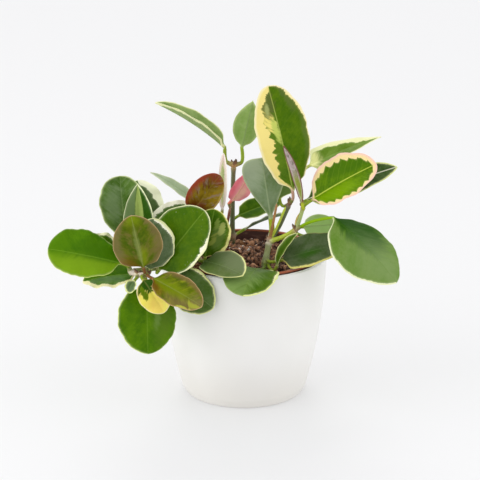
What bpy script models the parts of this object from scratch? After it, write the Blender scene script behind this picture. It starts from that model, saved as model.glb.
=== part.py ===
"""A potted wax plant: a white cover pot, a plastic growing pot of compost, and the plant's stems and leaves.

Lengths are in millimetres and become metres where a mesh is made. The origin is the middle of the
cover pot's flat base, +Z is up, and -Y is the side that the plant is seen from.
"""

import math
from collections import namedtuple

import bmesh
import bpy
import numpy as np

METRES = 0.001

# Cover pot
POT_HEIGHT = 122.0
RIM_RADIUS = 70.0
BASE_RADIUS = 52.0
BELLY = 1.9
POT_WALL = 3.2
POT_FLOOR = 4.0
FOOT_ROUND = 4.0
POT_STEPS = 36

# Growing pot, which stands on the cover pot's floor
TOUCH = 0.3
GROW_LIP_TOP = 123.2
GROW_LIP_RADIUS = 65.6
GROW_LIP_DEPTH = 7.0
GROW_MOUTH_RADIUS = 63.2
GROW_BASE_RADIUS = 43.0
GROW_WALL = 1.4
GROW_FLOOR = 2.0
GROW_STEPS = 30

# Compost
SOIL_TOP = 114.0
SOIL_MOUND = 3.0
SOIL_LUMPS = 2.0
SOIL_RINGS = 6
STEM_HOLE_FLOOR = 95.0
STEM_HOLE_GAP = 0.5

# Leaves
LEAF_ACROSS = 5
LEAF_THICKNESS = 1.5
EDGE_SHARE = 0.6
TIP_HALF_WIDTH = 0.9
NECK = 0.12

# Stems
NODE_SWELLING = 1.45
CUSHION_LENGTH = 2.6
CUSHION_SHARE = 0.85

Look = namedtuple("Look", "colour roughness")
LOOKS = {
    "pot_white": Look((0.86, 0.86, 0.85), 0.35),
    "pot_brown": Look((0.30, 0.11, 0.05), 0.5),
    "soil": Look((0.07, 0.035, 0.02), 0.95),
    "stem": Look((0.20, 0.26, 0.10), 0.5),
    "green": Look((0.07, 0.19, 0.01), 0.35),
    "grey": Look((0.15, 0.24, 0.14), 0.5),
    "bronze": Look((0.17, 0.12, 0.03), 0.4),
    "pink": Look((0.65, 0.14, 0.20), 0.4),
    "cream": Look((0.80, 0.70, 0.32), 0.4),
}


def material(look):
    """The shared material of a look, made on its first use."""
    found = bpy.data.materials.get(look)
    if found:
        return found
    made = bpy.data.materials.new(look)
    made.use_nodes = True
    shader = made.node_tree.nodes["Principled BSDF"]
    shader.inputs["Base Color"].default_value = (*LOOKS[look].colour, 1.0)
    shader.inputs["Roughness"].default_value = LOOKS[look].roughness
    shader.inputs["Metallic"].default_value = 0.0
    return made


def new_collection(name):
    made = bpy.data.collections.new(name)
    bpy.context.scene.collection.children.link(made)
    return made


def new_object(name, mesh, collection):
    made = bpy.data.objects.new(name, mesh)
    collection.objects.link(made)
    return made


def unit(vector):
    return vector / np.linalg.norm(vector)


def finished(obj, look, crease=40):
    """Gives the object its material and smooth shading with sharp creases."""
    obj.data.materials.clear()
    obj.data.materials.append(material(look))
    obj.data.shade_smooth()
    obj.data.set_sharp_from_angle(angle=math.radians(crease))
    return obj


def applied(obj):
    """Puts the evaluated mesh in place of the object's own, with its modifiers done."""
    graph = bpy.context.evaluated_depsgraph_get()
    mesh = bpy.data.meshes.new_from_object(obj.evaluated_get(graph))
    obj.modifiers.clear()
    obj.data = mesh
    return obj


def turned(name, profile, steps, collection):
    """A solid turned about Z from (radius, height) points: from the axis, down the outside, to the axis."""
    mesh = bpy.data.meshes.new(name)
    points = [(radius * METRES, 0.0, height * METRES) for radius, height in profile]
    mesh.from_pydata(points, [(i, i + 1) for i in range(len(points) - 1)], [])
    obj = new_object(name, mesh, collection)
    screw = obj.modifiers.new("Turn", "SCREW")
    screw.axis = "Z"
    screw.steps = steps
    screw.render_steps = steps
    screw.use_merge_vertices = True
    screw.merge_threshold = 1e-5
    return applied(obj)


def pot_radius(height):
    """The cover pot's outer radius: full at the rim, drawing in faster and faster towards the base."""
    drop = 1.0 - height / POT_HEIGHT
    return RIM_RADIUS - (RIM_RADIUS - BASE_RADIUS) * drop**BELLY


def make_cover_pot(collection):
    lip = POT_WALL / 2
    floor_radius = pot_radius(POT_FLOOR) - POT_WALL
    inside = [(pot_radius(h) - POT_WALL, h) for h in (POT_FLOOR + 3.0, 30.0, 60.0, 90.0, POT_HEIGHT - lip)]
    crown = [
        (RIM_RADIUS - lip - lip * math.cos(a), POT_HEIGHT - lip + lip * math.sin(a))
        for a in np.radians([45, 90, 135])
    ]
    heights = (POT_HEIGHT - lip, 105.0, 85.0, 65.0, 45.0, 25.0, FOOT_ROUND + 6.0)
    outside = [(pot_radius(height), height) for height in heights]
    foot = [
        (pot_radius(0) - FOOT_ROUND + FOOT_ROUND * math.cos(a), FOOT_ROUND - FOOT_ROUND * math.sin(a))
        for a in np.radians([20, 55, 90])
    ]
    floor = [(0.0, POT_FLOOR), (floor_radius - 3.0, POT_FLOOR)]
    profile = [*floor, *inside, *crown, *outside, *foot, (0.0, 0.0)]
    return finished(turned("cover_pot", profile, POT_STEPS, collection), "pot_white")


def grow_radius(height):
    """The growing pot's outer radius under its lip, a straight taper from its base."""
    base = POT_FLOOR + TOUCH
    return GROW_BASE_RADIUS + (GROW_MOUTH_RADIUS - GROW_BASE_RADIUS) * (height - base) / (GROW_LIP_TOP - base)


def make_growing_pot(collection):
    base = POT_FLOOR + TOUCH
    lip_foot = GROW_LIP_TOP - GROW_LIP_DEPTH
    floor = base + GROW_FLOOR
    profile = [
        (0.0, floor),
        (grow_radius(floor) - GROW_WALL, floor),
        (grow_radius(60.0) - GROW_WALL, 60.0),
        (grow_radius(lip_foot) - GROW_WALL, lip_foot),
        (GROW_MOUTH_RADIUS - GROW_WALL + 0.6, GROW_LIP_TOP - 0.8),
        (GROW_MOUTH_RADIUS, GROW_LIP_TOP),
        (GROW_LIP_RADIUS - 0.6, GROW_LIP_TOP),
        (GROW_LIP_RADIUS, GROW_LIP_TOP - 0.8),
        (GROW_LIP_RADIUS, lip_foot),
        (grow_radius(lip_foot), lip_foot),
        (grow_radius(60.0), 60.0),
        (grow_radius(base), base),
        (0.0, base),
    ]
    return finished(turned("nursery_pot", profile, GROW_STEPS, collection), "pot_brown")


def soil_height(x, y):
    """The compost's surface: a low mound with waves of unlike length and direction, flat at the wall."""
    reach = np.hypot(x, y) / (grow_radius(SOIL_TOP) - GROW_WALL)
    inner = np.clip(1.0 - reach**2, 0.0, 1.0)
    lumps = np.sin(0.21 * x + 0.6) * np.cos(0.17 * y - 0.9) + 0.6 * np.sin(0.33 * x - 0.29 * y + 1.7)
    return SOIL_TOP + SOIL_MOUND * inner + SOIL_LUMPS * np.sqrt(inner) * lumps


def make_soil(collection, cutters, holes):
    """The compost fills the growing pot to a lumpy surface, with a plain hole for each stem."""
    foot = POT_FLOOR + TOUCH + GROW_FLOOR + TOUCH
    side = [(grow_radius(h) - GROW_WALL - TOUCH, h) for h in (SOIL_TOP, 60.0, foot)]
    rings = [(side[0][0] * i / SOIL_RINGS, SOIL_TOP) for i in range(SOIL_RINGS)]
    soil = turned("soil", [*rings, *side, (0.0, foot)], GROW_STEPS, collection)
    places = np.empty(len(soil.data.vertices) * 3)
    soil.data.vertices.foreach_get("co", places)
    places = places.reshape(-1, 3) / METRES
    upper = places[:, 2] > SOIL_TOP - 1.0
    places[upper, 2] = soil_height(places[upper, 0], places[upper, 1])
    soil.data.vertices.foreach_set("co", (places * METRES).ravel())
    for x, y, radius in holes:
        depth = SOIL_TOP + 20.0 - STEM_HOLE_FLOOR
        bpy.ops.mesh.primitive_cylinder_add(
            vertices=12,
            radius=(radius + STEM_HOLE_GAP) / math.cos(math.pi / 12) * METRES,
            depth=depth * METRES,
            location=(x * METRES, y * METRES, (STEM_HOLE_FLOOR + depth / 2) * METRES),
        )
        cutter = bpy.context.object
        cutter.name = "stem_hole"
        cutter.hide_render = True
        cutter.display_type = "WIRE"
        bpy.context.collection.objects.unlink(cutter)
        cutters.objects.link(cutter)
    cut = soil.modifiers.new("Stem holes", "BOOLEAN")
    cut.operand_type = "COLLECTION"
    cut.collection = cutters
    return finished(soil, "soil", crease=80)


def along_curve(points, per_span=2):
    """Points on a smooth curve through the given ones (Catmull-Rom), as rows."""
    given = np.array(points, float)
    padded = np.vstack([2 * given[0] - given[1], given, 2 * given[-1] - given[-2]])
    t = np.linspace(0.0, 1.0, per_span, endpoint=False)[:, None]
    rows = []
    for a, b, c, d in zip(padded, padded[1:], padded[2:], padded[3:]):
        square = (2 * a - 5 * b + 4 * c - d) * t**2
        cube = (3 * b - a - 3 * c + d) * t**3
        rows.append(0.5 * (2 * b + (c - a) * t + square + cube))
    return np.vstack([*rows, given[-1:]])


def tube(name, points, radii, collection, sides=1):
    """A round stalk along the points, as a welded mesh object. Radii run evenly from first to last."""
    curve = bpy.data.curves.new(name, "CURVE")
    curve.dimensions = "3D"
    curve.bevel_depth = METRES
    curve.bevel_resolution = sides
    curve.use_fill_caps = True
    spline = curve.splines.new("POLY")
    spline.points.add(len(points) - 1)
    reach = np.linspace(0.0, 1.0, len(points))
    thick = np.interp(reach, np.linspace(0.0, 1.0, len(radii)), radii)
    for spot, place, radius in zip(spline.points, points, thick):
        spot.co = (*(np.array(place) * METRES), 1.0)
        spot.radius = radius
    guide = new_object(name, curve, collection)
    graph = bpy.context.evaluated_depsgraph_get()
    mesh = bpy.data.meshes.new_from_object(guide.evaluated_get(graph))
    bpy.data.objects.remove(guide)
    welded = bmesh.new()
    welded.from_mesh(mesh)
    bmesh.ops.remove_doubles(welded, verts=welded.verts, dist=1e-6)
    bmesh.ops.recalc_face_normals(welded, faces=welded.faces)
    welded.to_mesh(mesh)
    welded.free()
    return new_object(name, mesh, collection)


def ball(name, centre, radius, collection):
    mesh = bpy.data.meshes.new(name)
    shape = bmesh.new()
    bmesh.ops.create_uvsphere(shape, u_segments=6, v_segments=4, radius=radius * METRES)
    bmesh.ops.translate(shape, verts=shape.verts, vec=np.array(centre) * METRES)
    shape.to_mesh(mesh)
    shape.free()
    return new_object(name, mesh, collection)


def joined(name, objects, collection):
    """The union of the objects as one body of that name."""
    body, rest = objects[0], objects[1:]
    spares = new_collection(name + " pieces")
    for piece in rest:
        collection.objects.unlink(piece)
        spares.objects.link(piece)
    union = body.modifiers.new("Union", "BOOLEAN")
    union.operation = "UNION"
    union.operand_type = "COLLECTION"
    union.collection = spares
    applied(body)
    for piece in rest:
        bpy.data.objects.remove(piece)
    bpy.data.collections.remove(spares)
    body.name = name
    return body


# Places where stems fork, bend or carry leaves, named for the stem that they are on.
PLACES = {
    "right_foot": (18, -25, 124),
    "right_fork": (21, -22, 139),
    "right_elbow": (43, -26, 150),
    "right_top": (49, -28, 171),
    "right_rear_top": (38, -14, 169),
    "left_rise": (-60, -26, 128),
    "left_inner": (-71, -36, 121),
    "left_outer": (-94, -46, 120),
    "left_second": (-87, -54, 120),
    "left_tip": (-79, -59, 122),
    "rear_left_rise": (-66, -10, 128),
    "rear_left_top": (-88, -22, 138),
    "middle_low": (-38, -34, 127),
    "middle_top": (-39, -10, 152),
    "back_low": (-10, 46, 122),
    "back_top": (-9, 46, 186),
    "thin_top": (-12, 40, 150),
}

# A stem: its runs, each with (points or place names, radius at the start, radius at the end).
Run = namedtuple("Run", "points start end")
Stem = namedtuple("Stem", "name runs")

STEMS = [
    Stem(
        "stem_right",
        [
            Run([(17, -24, 96), (17, -24, 119), "right_foot", "right_fork"], 2.7, 2.4),
            Run(["right_fork", (31, -25, 143), "right_elbow"], 2.0, 1.8),
            Run(["right_elbow", (46, -27, 160), "right_top"], 1.8, 1.6),
            Run(["right_fork", (29, -18, 150), "right_rear_top"], 1.9, 1.7),
            Run(["right_fork", (24, -26, 156), (27, -27, 173)], 1.4, 0.9),
            Run(["right_fork", (27, -21, 150), (34.5, -19.5, 168)], 1.2, 1.0),
            Run(["right_elbow", (44, -22, 158), (49, -20, 166)], 1.4, 0.9),
        ],
    ),
    Stem(
        "stem_left",
        [
            Run(
                [(-44, -16, 96), (-44, -16, 119), (-50, -19, 126), "left_rise", "left_inner", "left_outer"],
                2.4, 2.2,
            ),
            Run(["left_outer", "left_second", "left_tip"], 2.1, 1.8),
        ],
    ),
    Stem(
        "stem_left_rear",
        [Run([(-38, 6, 96), (-38, 6, 119), (-46, 2, 126), "rear_left_rise", "rear_left_top"], 2.2, 1.8)],
    ),
    Stem(
        "stem_middle",
        [Run([(-34, -28, 96), (-34, -28, 119), "middle_low", (-40, -22, 140), "middle_top"], 2.2, 1.5)],
    ),
    Stem(
        "stem_back",
        [Run([(-10, 46, 96), "back_low", (-10, 46, 150), "back_top"], 2.4, 1.9)],
    ),
    Stem(
        "stem_thin",
        [Run([(-17, 40, 96), (-17, 40, 119), "thin_top"], 1.4, 1.2)],
    ),
]

# A leaf: the place that it grows from, its blade's base and tip, the way its upper side faces, and its
# width. Then how far the blade arches up, the angle that each half rises from the midrib, the height of
# its edge's waves, where along it it is widest, its petiole's radius, its look, its petiole's bend, as a
# point or as a share of its length back from the blade, and how pointed its outline's ends are.
Leaf = namedtuple(
    "Leaf",
    "name place base tip faces width arch fold wave widest petiole look bend point",
    defaults=(2.0, 12.0, 1.0, 0.5, 1.3, "green", 0.45, 1.15),
)

LEAVES = [
    # Left spray, from the tip of the stem inwards
    Leaf(
        "leaf_left_young_upper", "left_tip", (-82, -66, 130), (-91, -72, 176), (0.1, -3, 1), 41,
        look="bronze",
    ),
    Leaf(
        "leaf_left_young_lower", "left_tip", (-74.2, -71.8, 122.6), (-34, -95, 106.5), (0, -2, 1.8), 28,
        look="bronze",
    ),
    Leaf("leaf_left_grey", "left_second", (-77, -53, 124), (-74, -46, 166), (0.6, -3, 1), 37, look="grey"),
    Leaf("leaf_left_big_upper", "left_inner", (-70, -48, 122), (-32, -44, 172), (-1.2, -2.4, 1), 52),
    Leaf(
        "leaf_left_big_outer", "left_outer", (-101, -52, 129), (-160, -60, 144), (0, -2.5, 2), 42,
        widest=0.58,
    ),
    Leaf(
        "leaf_left_under_outer", "left_outer", (-90, -38, 114.8), (-134, -41, 109), (0, -1, 3), 42,
        widest=0.42,
    ),
    Leaf(
        "leaf_left_hanging", "left_second", (-80, -58, 113.5), (-79, -74, 58), (0, -3, 1), 49,
        widest=0.48, point=1.2,
    ),
    Leaf(
        "leaf_left_cream", "left_tip", (-82.5, -66, 119.5), (-65, -80, 96), (0.8, -3, 1), 27,
        look="cream",
    ),
    Leaf(
        "leaf_left_folded", "left_second", (-90, -63, 117.5), (-94, -67, 108.5), (-1, -2.5, 0.5), 10.5,
        fold=25.0,
    ),
    Leaf(
        "leaf_left_low_inner", "left_inner", (-60, -48, 120), (-25, -70, 96.5), (-0.8, -2, 0.8), 36,
        look="grey",
    ),
    Leaf(
        "leaf_left_rear_upper", "rear_left_top", (-98.5, -22, 141), (-103.5, -8, 191.5), (-0.3, -3, 1), 38,
        look="grey", widest=0.58,
    ),
    Leaf(
        "leaf_left_rear_inner", "rear_left_top", (-82, -14, 143), (-89.5, 4, 184.5), (0.4, -3, 1), 37,
        look="grey",
    ),
    Leaf(
        "leaf_left_upright", "rear_left_top", (-86, -30, 136), (-88, -23, 189), (0, -3, 0.3), 31,
        fold=35.0, widest=0.42, point=1.6,
    ),
    Leaf("leaf_left_rear_low", "rear_left_top", (-105, -30, 132), (-129, -32, 142), (0, -2, 2), 22),
    Leaf("leaf_left_back", "rear_left_rise", (-76, 6, 138), (-104, 42, 148), (0, 1, 3), 40),
    # Middle
    Leaf("leaf_middle_upright", "middle_low", (-32.3, -40.5, 130.5), (-24.5, -36, 171), (0.2, -3, 1), 35),
    Leaf(
        "leaf_middle_grey", "middle_low", (-33, -48, 129.5), (-1, -82, 128.5), (0, -1, 1.6), 32,
        look="grey", fold=15.0, point=1.0,
    ),
    Leaf(
        "leaf_middle_red", "middle_top", (-44, -28, 165), (-20, -26, 197), (0, -3, 1), 27,
        look="bronze", widest=0.48, point=1.0,
    ),
    Leaf("leaf_middle_cream", "middle_top", (-44, -15, 168), (-77, -24, 158), (0, -3, 1), 18, look="cream"),
    Leaf(
        "leaf_middle_pale", "middle_top", (-42, 3, 166), (-79, 12, 189), (0, -1, 3), 13,
        look="cream", widest=0.3,
    ),
    Leaf(
        "leaf_middle_edge_on", "middle_top", (-18.5, 8, 157), (-17.5, 12, 206), (0, -3, 0), 15,
        look="cream", fold=60.0,
    ),
    Leaf("leaf_middle_back", "middle_top", (-46, 8, 142), (-52, 50, 138), (0, 1, 3), 36),
    # Back
    Leaf(
        "leaf_back_top_left", "back_top", (-16.5, 48, 201.5), (-76, 52, 240), (0.5, -0.6, 3), 22,
        arch=3.0, fold=50.0, widest=0.4, bend=(-17, 46, 190),
    ),
    Leaf(
        "leaf_back_top_right", "back_top", (-2, 45, 202), (7.5, 46, 243), (0.3, 3, 1), 24,
        look="grey", bend=(0, 46, 189), point=1.9, widest=0.44,
    ),
    Leaf(
        "leaf_back_low_right", "back_low", (-5, 56, 137.5), (33, 70, 147), (0, -2, 3), 22,
        widest=0.42, point=0.95,
    ),
    Leaf(
        "leaf_back_low_under", "back_low", (0, 57.4, 124.8), (37, 73, 134), (0, 1.6, 3), 24,
        look="grey", fold=5.0,
    ),
    Leaf("leaf_back_pink", "thin_top", (-11, 36.5, 157), (3, 34, 182), (1.5, -2, 0.5), 21, look="pink"),
    # Right
    Leaf(
        "leaf_right_grey", "right_fork", (22.5, -12, 154.5), (14.5, -4, 206), (0, 3, -0.5), 37,
        look="grey", widest=0.78, point=1.5, petiole=1.8,
    ),
    Leaf(
        "leaf_right_half_yellow", "right_rear_top", (40, -18.5, 181.5), (19, -12, 269), (1.2, -2.4, 0.5), 49,
        look="cream",
    ),
    Leaf(
        "leaf_right_drooping", "right_elbow", (72.5, -45.5, 166.5), (122.5, -83, 122.5), (0.6, -1.4, 2.5), 58,
        fold=-12.0, widest=0.5, bend=(55, -34, 161), point=1.45, arch=3.5,
    ),
    Leaf(
        "leaf_right_folded", "right_foot", (27, -44.5, 124.5), (44, -43, 152), (-2, -1.2, 1), 12.5,
        fold=35.0,
    ),
    Leaf(
        "leaf_right_pale_under", "right_elbow", (49, -18.7, 150.2), (76, -17, 152), (0, 3, -1), 20,
        look="grey",
    ),
    Leaf(
        "leaf_right_on_rim", "right_foot", (31, -41, 128.5), (88, -46, 145), (0, -1, 1.2), 32,
        widest=0.38,
    ),
    Leaf(
        "leaf_right_pink_edge", "right_top", (55.5, -36, 178.5), (108, -36, 209), (0, -2, 2.6), 45,
        fold=18.0,
    ),
    Leaf(
        "leaf_right_rolled", "right_top", (47.5, -40.6, 177), (32, -39, 225), (-2, -2, 0), 10,
        look="bronze", arch=-3.5,
    ),
    Leaf("leaf_right_edge_on", "right_top", (54, -8, 200), (114, 0, 223), (0, -1.3, 3), 29, widest=0.16),
    Leaf(
        "leaf_right_behind_pink", "right_top", (52, -14, 172), (127, -12, 200), (0, -2, 2.6), 30,
        look="grey", widest=0.42,
    ),
    Leaf("leaf_right_back", "right_rear_top", (30, 2, 168), (24, 24, 204), (0, 2, 1), 36),
    Leaf("leaf_right_back_low", "right_elbow", (58, 4, 134), (102, 24, 114), (0, 1, 3), 38),
    Leaf(
        "leaf_front_over_rim", "right_foot", (13, -50, 123), (-1, -88, 113), (-0.3, -1.2, 2.4), 46,
        arch=7.5, widest=0.54, point=1.0, fold=5.0,
    ),
]


def place_of(spot):
    return np.array(PLACES[spot] if isinstance(spot, str) else spot, float)


def stem_radius_at(spot):
    """The thickest run that starts, ends or passes at a named place."""
    found = [
        radius
        for stem in STEMS
        for run in stem.runs
        for radius in (run.start, run.end)
        if spot in run.points
    ]
    return max(found)


def leaf_frame(row):
    """The blade's length, its direction from base to tip, and the direction that its upper side faces."""
    base, tip = np.array(row.base, float), np.array(row.tip, float)
    length = np.linalg.norm(tip - base)
    onward = (tip - base) / length
    faces = np.array(row.faces, float)
    upward = unit(faces - onward * (faces @ onward))
    return length, onward, upward


def petiole_bend(row):
    """The petiole's middle control point: the row's own, or a share of the way back from the blade."""
    if not np.isscalar(row.bend):
        return np.array(row.bend, float)
    length, onward, upward = leaf_frame(row)
    first = unit(onward * length + upward * 4.0 * row.arch)
    base = np.array(row.base, float)
    return base - first * row.bend * np.linalg.norm(base - place_of(row.place))


def cushion_of(row):
    """Where the leaf's cushion on the stem ends, and the direction that it points in."""
    middle = place_of(row.place)
    outward = unit(petiole_bend(row) - middle)
    return middle + outward * (stem_radius_at(row.place) * NODE_SWELLING + CUSHION_LENGTH), outward


def blade_half_width(t, width, widest, point):
    """An oval outline: zero at both ends, full at the widest place, more pointed with a larger point."""
    a = point * widest
    b = point * (1.0 - widest)
    return 0.5 * width * (t**a * (1.0 - t) ** b) / (widest**a * (1.0 - widest) ** b)


def leaf_sections(row):
    """The leaf's upper and lower surfaces as grids of points (stations along, points across).

    The middle line is a quadratic curve along the petiole and then a parabola over the blade's chord. A round
    section on the petiole turns, over the blade's neck, into a thin one as wide as the outline, whose halves
    rise from the midrib by the fold, and whose edges ripple by a sine of the place along the blade.
    """
    length, onward, upward = leaf_frame(row)
    base = np.array(row.base, float)
    root, outward = cushion_of(row)
    root = root + outward * TOUCH
    bend = petiole_bend(row)
    petiole_length = np.linalg.norm(base - root)
    stalk = np.linspace(0.0, 1.0, 3 if petiole_length < 14 else 4)[:-1, None]
    stalk_line = root * (1 - stalk) ** 2 + 2 * bend * stalk * (1 - stalk) + base * stalk**2
    stalk_way = 2 * (bend - root) * (1 - stalk) + 2 * (base - bend) * stalk

    stations = 12 if length > 30 else 9
    t = (1.0 - np.cos(np.pi * np.linspace(0.0, 1.0, stations))) / 2.0
    t = (0.45 * t + 0.55 * np.linspace(0.0, 1.0, stations))[:, None]
    blade_line = base + onward * length * t + upward * 4.0 * row.arch * t * (1.0 - t)
    blade_way = onward * length + upward * 4.0 * row.arch * (1.0 - 2.0 * t)

    line = np.vstack([stalk_line, blade_line])
    way = np.vstack([stalk_way, blade_way])
    way /= np.linalg.norm(way, axis=1)[:, None]
    share = np.concatenate([np.zeros(len(stalk)), t[:, 0]])[:, None]
    side = np.cross(onward, upward)
    side = side - way * (way @ side)[:, None]
    side /= np.linalg.norm(side, axis=1)[:, None]
    top = np.cross(side, way)

    across = np.linspace(-1.0, 1.0, LEAF_ACROSS)[None, :]
    half = np.maximum(blade_half_width(share, row.width, row.widest, row.point), TIP_HALF_WIDTH)
    fold = np.radians(row.fold)
    ripple = row.wave * across**2 * np.sin(2 * np.pi * (3.1 * share + 0.27 * across + 0.13 * len(row.name)))
    sideways = half * across * math.cos(fold)
    lift = half * np.abs(across) * math.sin(fold) + ripple * np.minimum(half / 8.0, 1.0)
    thick = LEAF_THICKNESS * (1.0 - (1.0 - EDGE_SHARE) * across**2) / 2.0

    angle = np.pi * (0.9 - 0.8 * (across + 1.0) / 2.0)
    round_side = row.petiole * np.cos(angle)
    round_lift = row.petiole * np.sin(angle)
    flat = np.clip(share / NECK, 0.0, 1.0)
    flat = flat * flat * (3.0 - 2.0 * flat)
    flat = np.where(np.arange(len(line))[:, None] < len(stalk), 0.0, flat)

    def surface(sign):
        out = (1 - flat) * round_side + flat * sideways
        up = (1 - flat) * sign * round_lift + flat * (lift + sign * thick)
        return line[:, None, :] + side[:, None, :] * out[:, :, None] + top[:, None, :] * up[:, :, None]

    return surface(1.0), surface(-1.0)


def leaf_triangles(stations, across):
    """Corner numbers of a closed leaf: two grids split by the same diagonals, two edges and two ends."""
    upper = np.arange(stations * across).reshape(stations, across)
    lower = upper + stations * across
    a, b, c, d = upper[:-1, :-1], upper[:-1, 1:], upper[1:, 1:], upper[1:, :-1]
    e, f, g, h = lower[:-1, :-1], lower[:-1, 1:], lower[1:, 1:], lower[1:, :-1]
    faces = [(a, b, c), (a, c, d), (e, g, f), (e, h, g)]
    for column, flip in ((-1, False), (0, True)):
        t0, t1, b0, b1 = upper[:-1, column], upper[1:, column], lower[:-1, column], lower[1:, column]
        faces += [(t0, b1, b0), (t0, t1, b1)] if flip else [(t0, b0, b1), (t0, b1, t1)]
    for row, flip in ((0, False), (-1, True)):
        t0, t1, b0, b1 = upper[row, :-1], upper[row, 1:], lower[row, :-1], lower[row, 1:]
        faces += [(t0, b1, b0), (t0, t1, b1)] if flip else [(t0, b0, b1), (t0, b1, t1)]
    return np.vstack([np.stack([np.ravel(corner) for corner in face], axis=1) for face in faces])


def make_leaf(row, collection):
    upper, lower = leaf_sections(row)
    points = np.vstack([upper.reshape(-1, 3), lower.reshape(-1, 3)]) * METRES
    mesh = bpy.data.meshes.new(row.name)
    mesh.from_pydata(points.tolist(), [], leaf_triangles(*upper.shape[:2]).tolist())
    return finished(new_object(row.name, mesh, collection), row.look)


def make_stem(stem, collection):
    """The stem's runs, a swelling at each leafy place, and a cushion under each leaf, in one body."""
    runs = [
        tube(
            stem.name, along_curve([place_of(spot) for spot in run.points]), (run.start, run.end),
            collection,
        )
        for run in stem.runs
    ]
    spots = {spot for run in stem.runs for spot in run.points if isinstance(spot, str)}
    carried = [row for row in LEAVES if row.place in spots]
    balls = [
        ball("swelling", place_of(spot), stem_radius_at(spot) * NODE_SWELLING, collection)
        for spot in sorted({row.place for row in carried})
    ]
    cushions = []
    for row in carried:
        end, outward = cushion_of(row)
        start = place_of(row.place) + outward * 0.3
        thick = stem_radius_at(row.place) * CUSHION_SHARE
        cushions.append(tube("cushion", [start, end], (thick, row.petiole * 1.15), collection))
    return finished(joined(stem.name, [*runs, *balls, *cushions], collection), "stem")


def main():
    for obj in list(bpy.data.objects):
        bpy.data.objects.remove(obj)
    plant = new_collection("potted_wax_plant")
    cutters = new_collection("cutters")
    make_cover_pot(plant)
    make_growing_pot(plant)
    holes = [(*stem.runs[0].points[0][:2], stem.runs[0].start) for stem in STEMS]
    make_soil(plant, cutters, holes)
    for stem in STEMS:
        make_stem(stem, plant)
    for row in LEAVES:
        make_leaf(row, plant)


main()
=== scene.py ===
# %% [markdown]
# # A potted wax plant
#
# The plant is a short, trailing climber with thick, waxy leaves. It grows in a thin plastic pot of
# compost, which stands inside a white glazed cover pot. The construction is done elsewhere: this
# notebook loads it as a fixed frame and makes each piece again at a fine resolution, with its finish.
#
# Lengths below are in millimetres, because that is how one measures a leaf, and turn into metres
# where a mesh is made. The origin is the middle of the cover pot's base, +Z is up, and the plant is
# seen from -Y.

# %% Load the frame
import math
from collections import namedtuple

import bpy
import numpy as np
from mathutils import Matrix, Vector


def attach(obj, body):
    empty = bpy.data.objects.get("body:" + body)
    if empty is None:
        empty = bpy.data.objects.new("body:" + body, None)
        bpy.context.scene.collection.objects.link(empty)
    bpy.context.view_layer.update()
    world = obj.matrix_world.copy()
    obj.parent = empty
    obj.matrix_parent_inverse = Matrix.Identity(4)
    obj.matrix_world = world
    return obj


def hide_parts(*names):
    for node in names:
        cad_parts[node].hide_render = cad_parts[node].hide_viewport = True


MM = 0.001

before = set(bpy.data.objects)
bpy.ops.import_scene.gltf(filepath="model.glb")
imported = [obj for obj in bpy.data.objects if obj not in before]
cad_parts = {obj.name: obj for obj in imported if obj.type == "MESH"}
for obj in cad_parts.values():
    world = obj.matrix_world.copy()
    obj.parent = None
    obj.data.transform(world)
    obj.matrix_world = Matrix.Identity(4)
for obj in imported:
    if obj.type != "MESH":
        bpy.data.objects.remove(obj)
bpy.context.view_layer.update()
print("frame:", len(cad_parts), "nodes")


# %% [markdown]
# ## The studio
#
# A white room with no corners: a wide floor that the camera never sees the end of, and a bright, even
# sky. A broad sun stands behind the plant, so that the shadow falls softly forwards, and large lamps
# in front of it and low on both sides give the leaves their soft shine and the pot its bright sides.
# The floor glows a little, as a lit backdrop does, so the pot's shadow on it stays light.

# %% Floor, light and camera
FLOOR_REACH = 12.0
FLOOR_WHITE = (0.52, 0.52, 0.53)
FLOOR_GLOW = 0.33
FLOOR_DROP = 0.0003
SKY_STRENGTH = 0.91
SUN_STRENGTH = 0.6
SUN_SPREAD = 32.0
SUN_FROM = (-0.08, 1.0, 0.8)
LAMP_TARGET = (0.0, 0.0, 0.12)
LAMPS = {
    "fill_lamp": ((-1.1, -1.3, 1.3), 1.2, 4.0),
    "left_lamp": ((-1.7, -0.35, 0.35), 1.0, 10.0),
    "right_lamp": ((1.7, -0.4, 0.35), 1.0, 6.0),
}
CAMERA_PLACE = (-0.0035, -1.5, 0.6)
CAMERA_TARGET = (-0.0035, 0.0, 0.133)
CAMERA_LENS = 139.2

scene = bpy.context.scene
scene.view_settings.view_transform = "Standard"


def aimed(obj, place, target):
    """Puts a lamp or a camera at a place, looking at a target."""
    obj.location = place
    obj.rotation_euler = (Vector(target) - Vector(place)).to_track_quat("-Z", "Y").to_euler()
    scene.collection.objects.link(obj)
    return obj


def make_floor():
    """One wide square just under the pot, in a white that glows a little."""
    mesh = bpy.data.meshes.new("studio_floor")
    corners = [(x * FLOOR_REACH, y * FLOOR_REACH, 0.0) for x, y in ((-1, -1), (1, -1), (1, 1), (-1, 1))]
    mesh.from_pydata(corners, [], [(0, 1, 2, 3)])
    white = bpy.data.materials.new("studio_white")
    white.use_nodes = True
    sockets = white.node_tree.nodes["Principled BSDF"].inputs
    sockets["Base Color"].default_value = (*FLOOR_WHITE, 1.0)
    sockets["Roughness"].default_value = 0.9
    sockets["Emission Color"].default_value = (1.0, 1.0, 1.0, 1.0)
    sockets["Emission Strength"].default_value = FLOOR_GLOW
    mesh.materials.append(white)
    floor = bpy.data.objects.new("studio_floor", mesh)
    floor.location.z = -FLOOR_DROP
    scene.collection.objects.link(floor)


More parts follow.
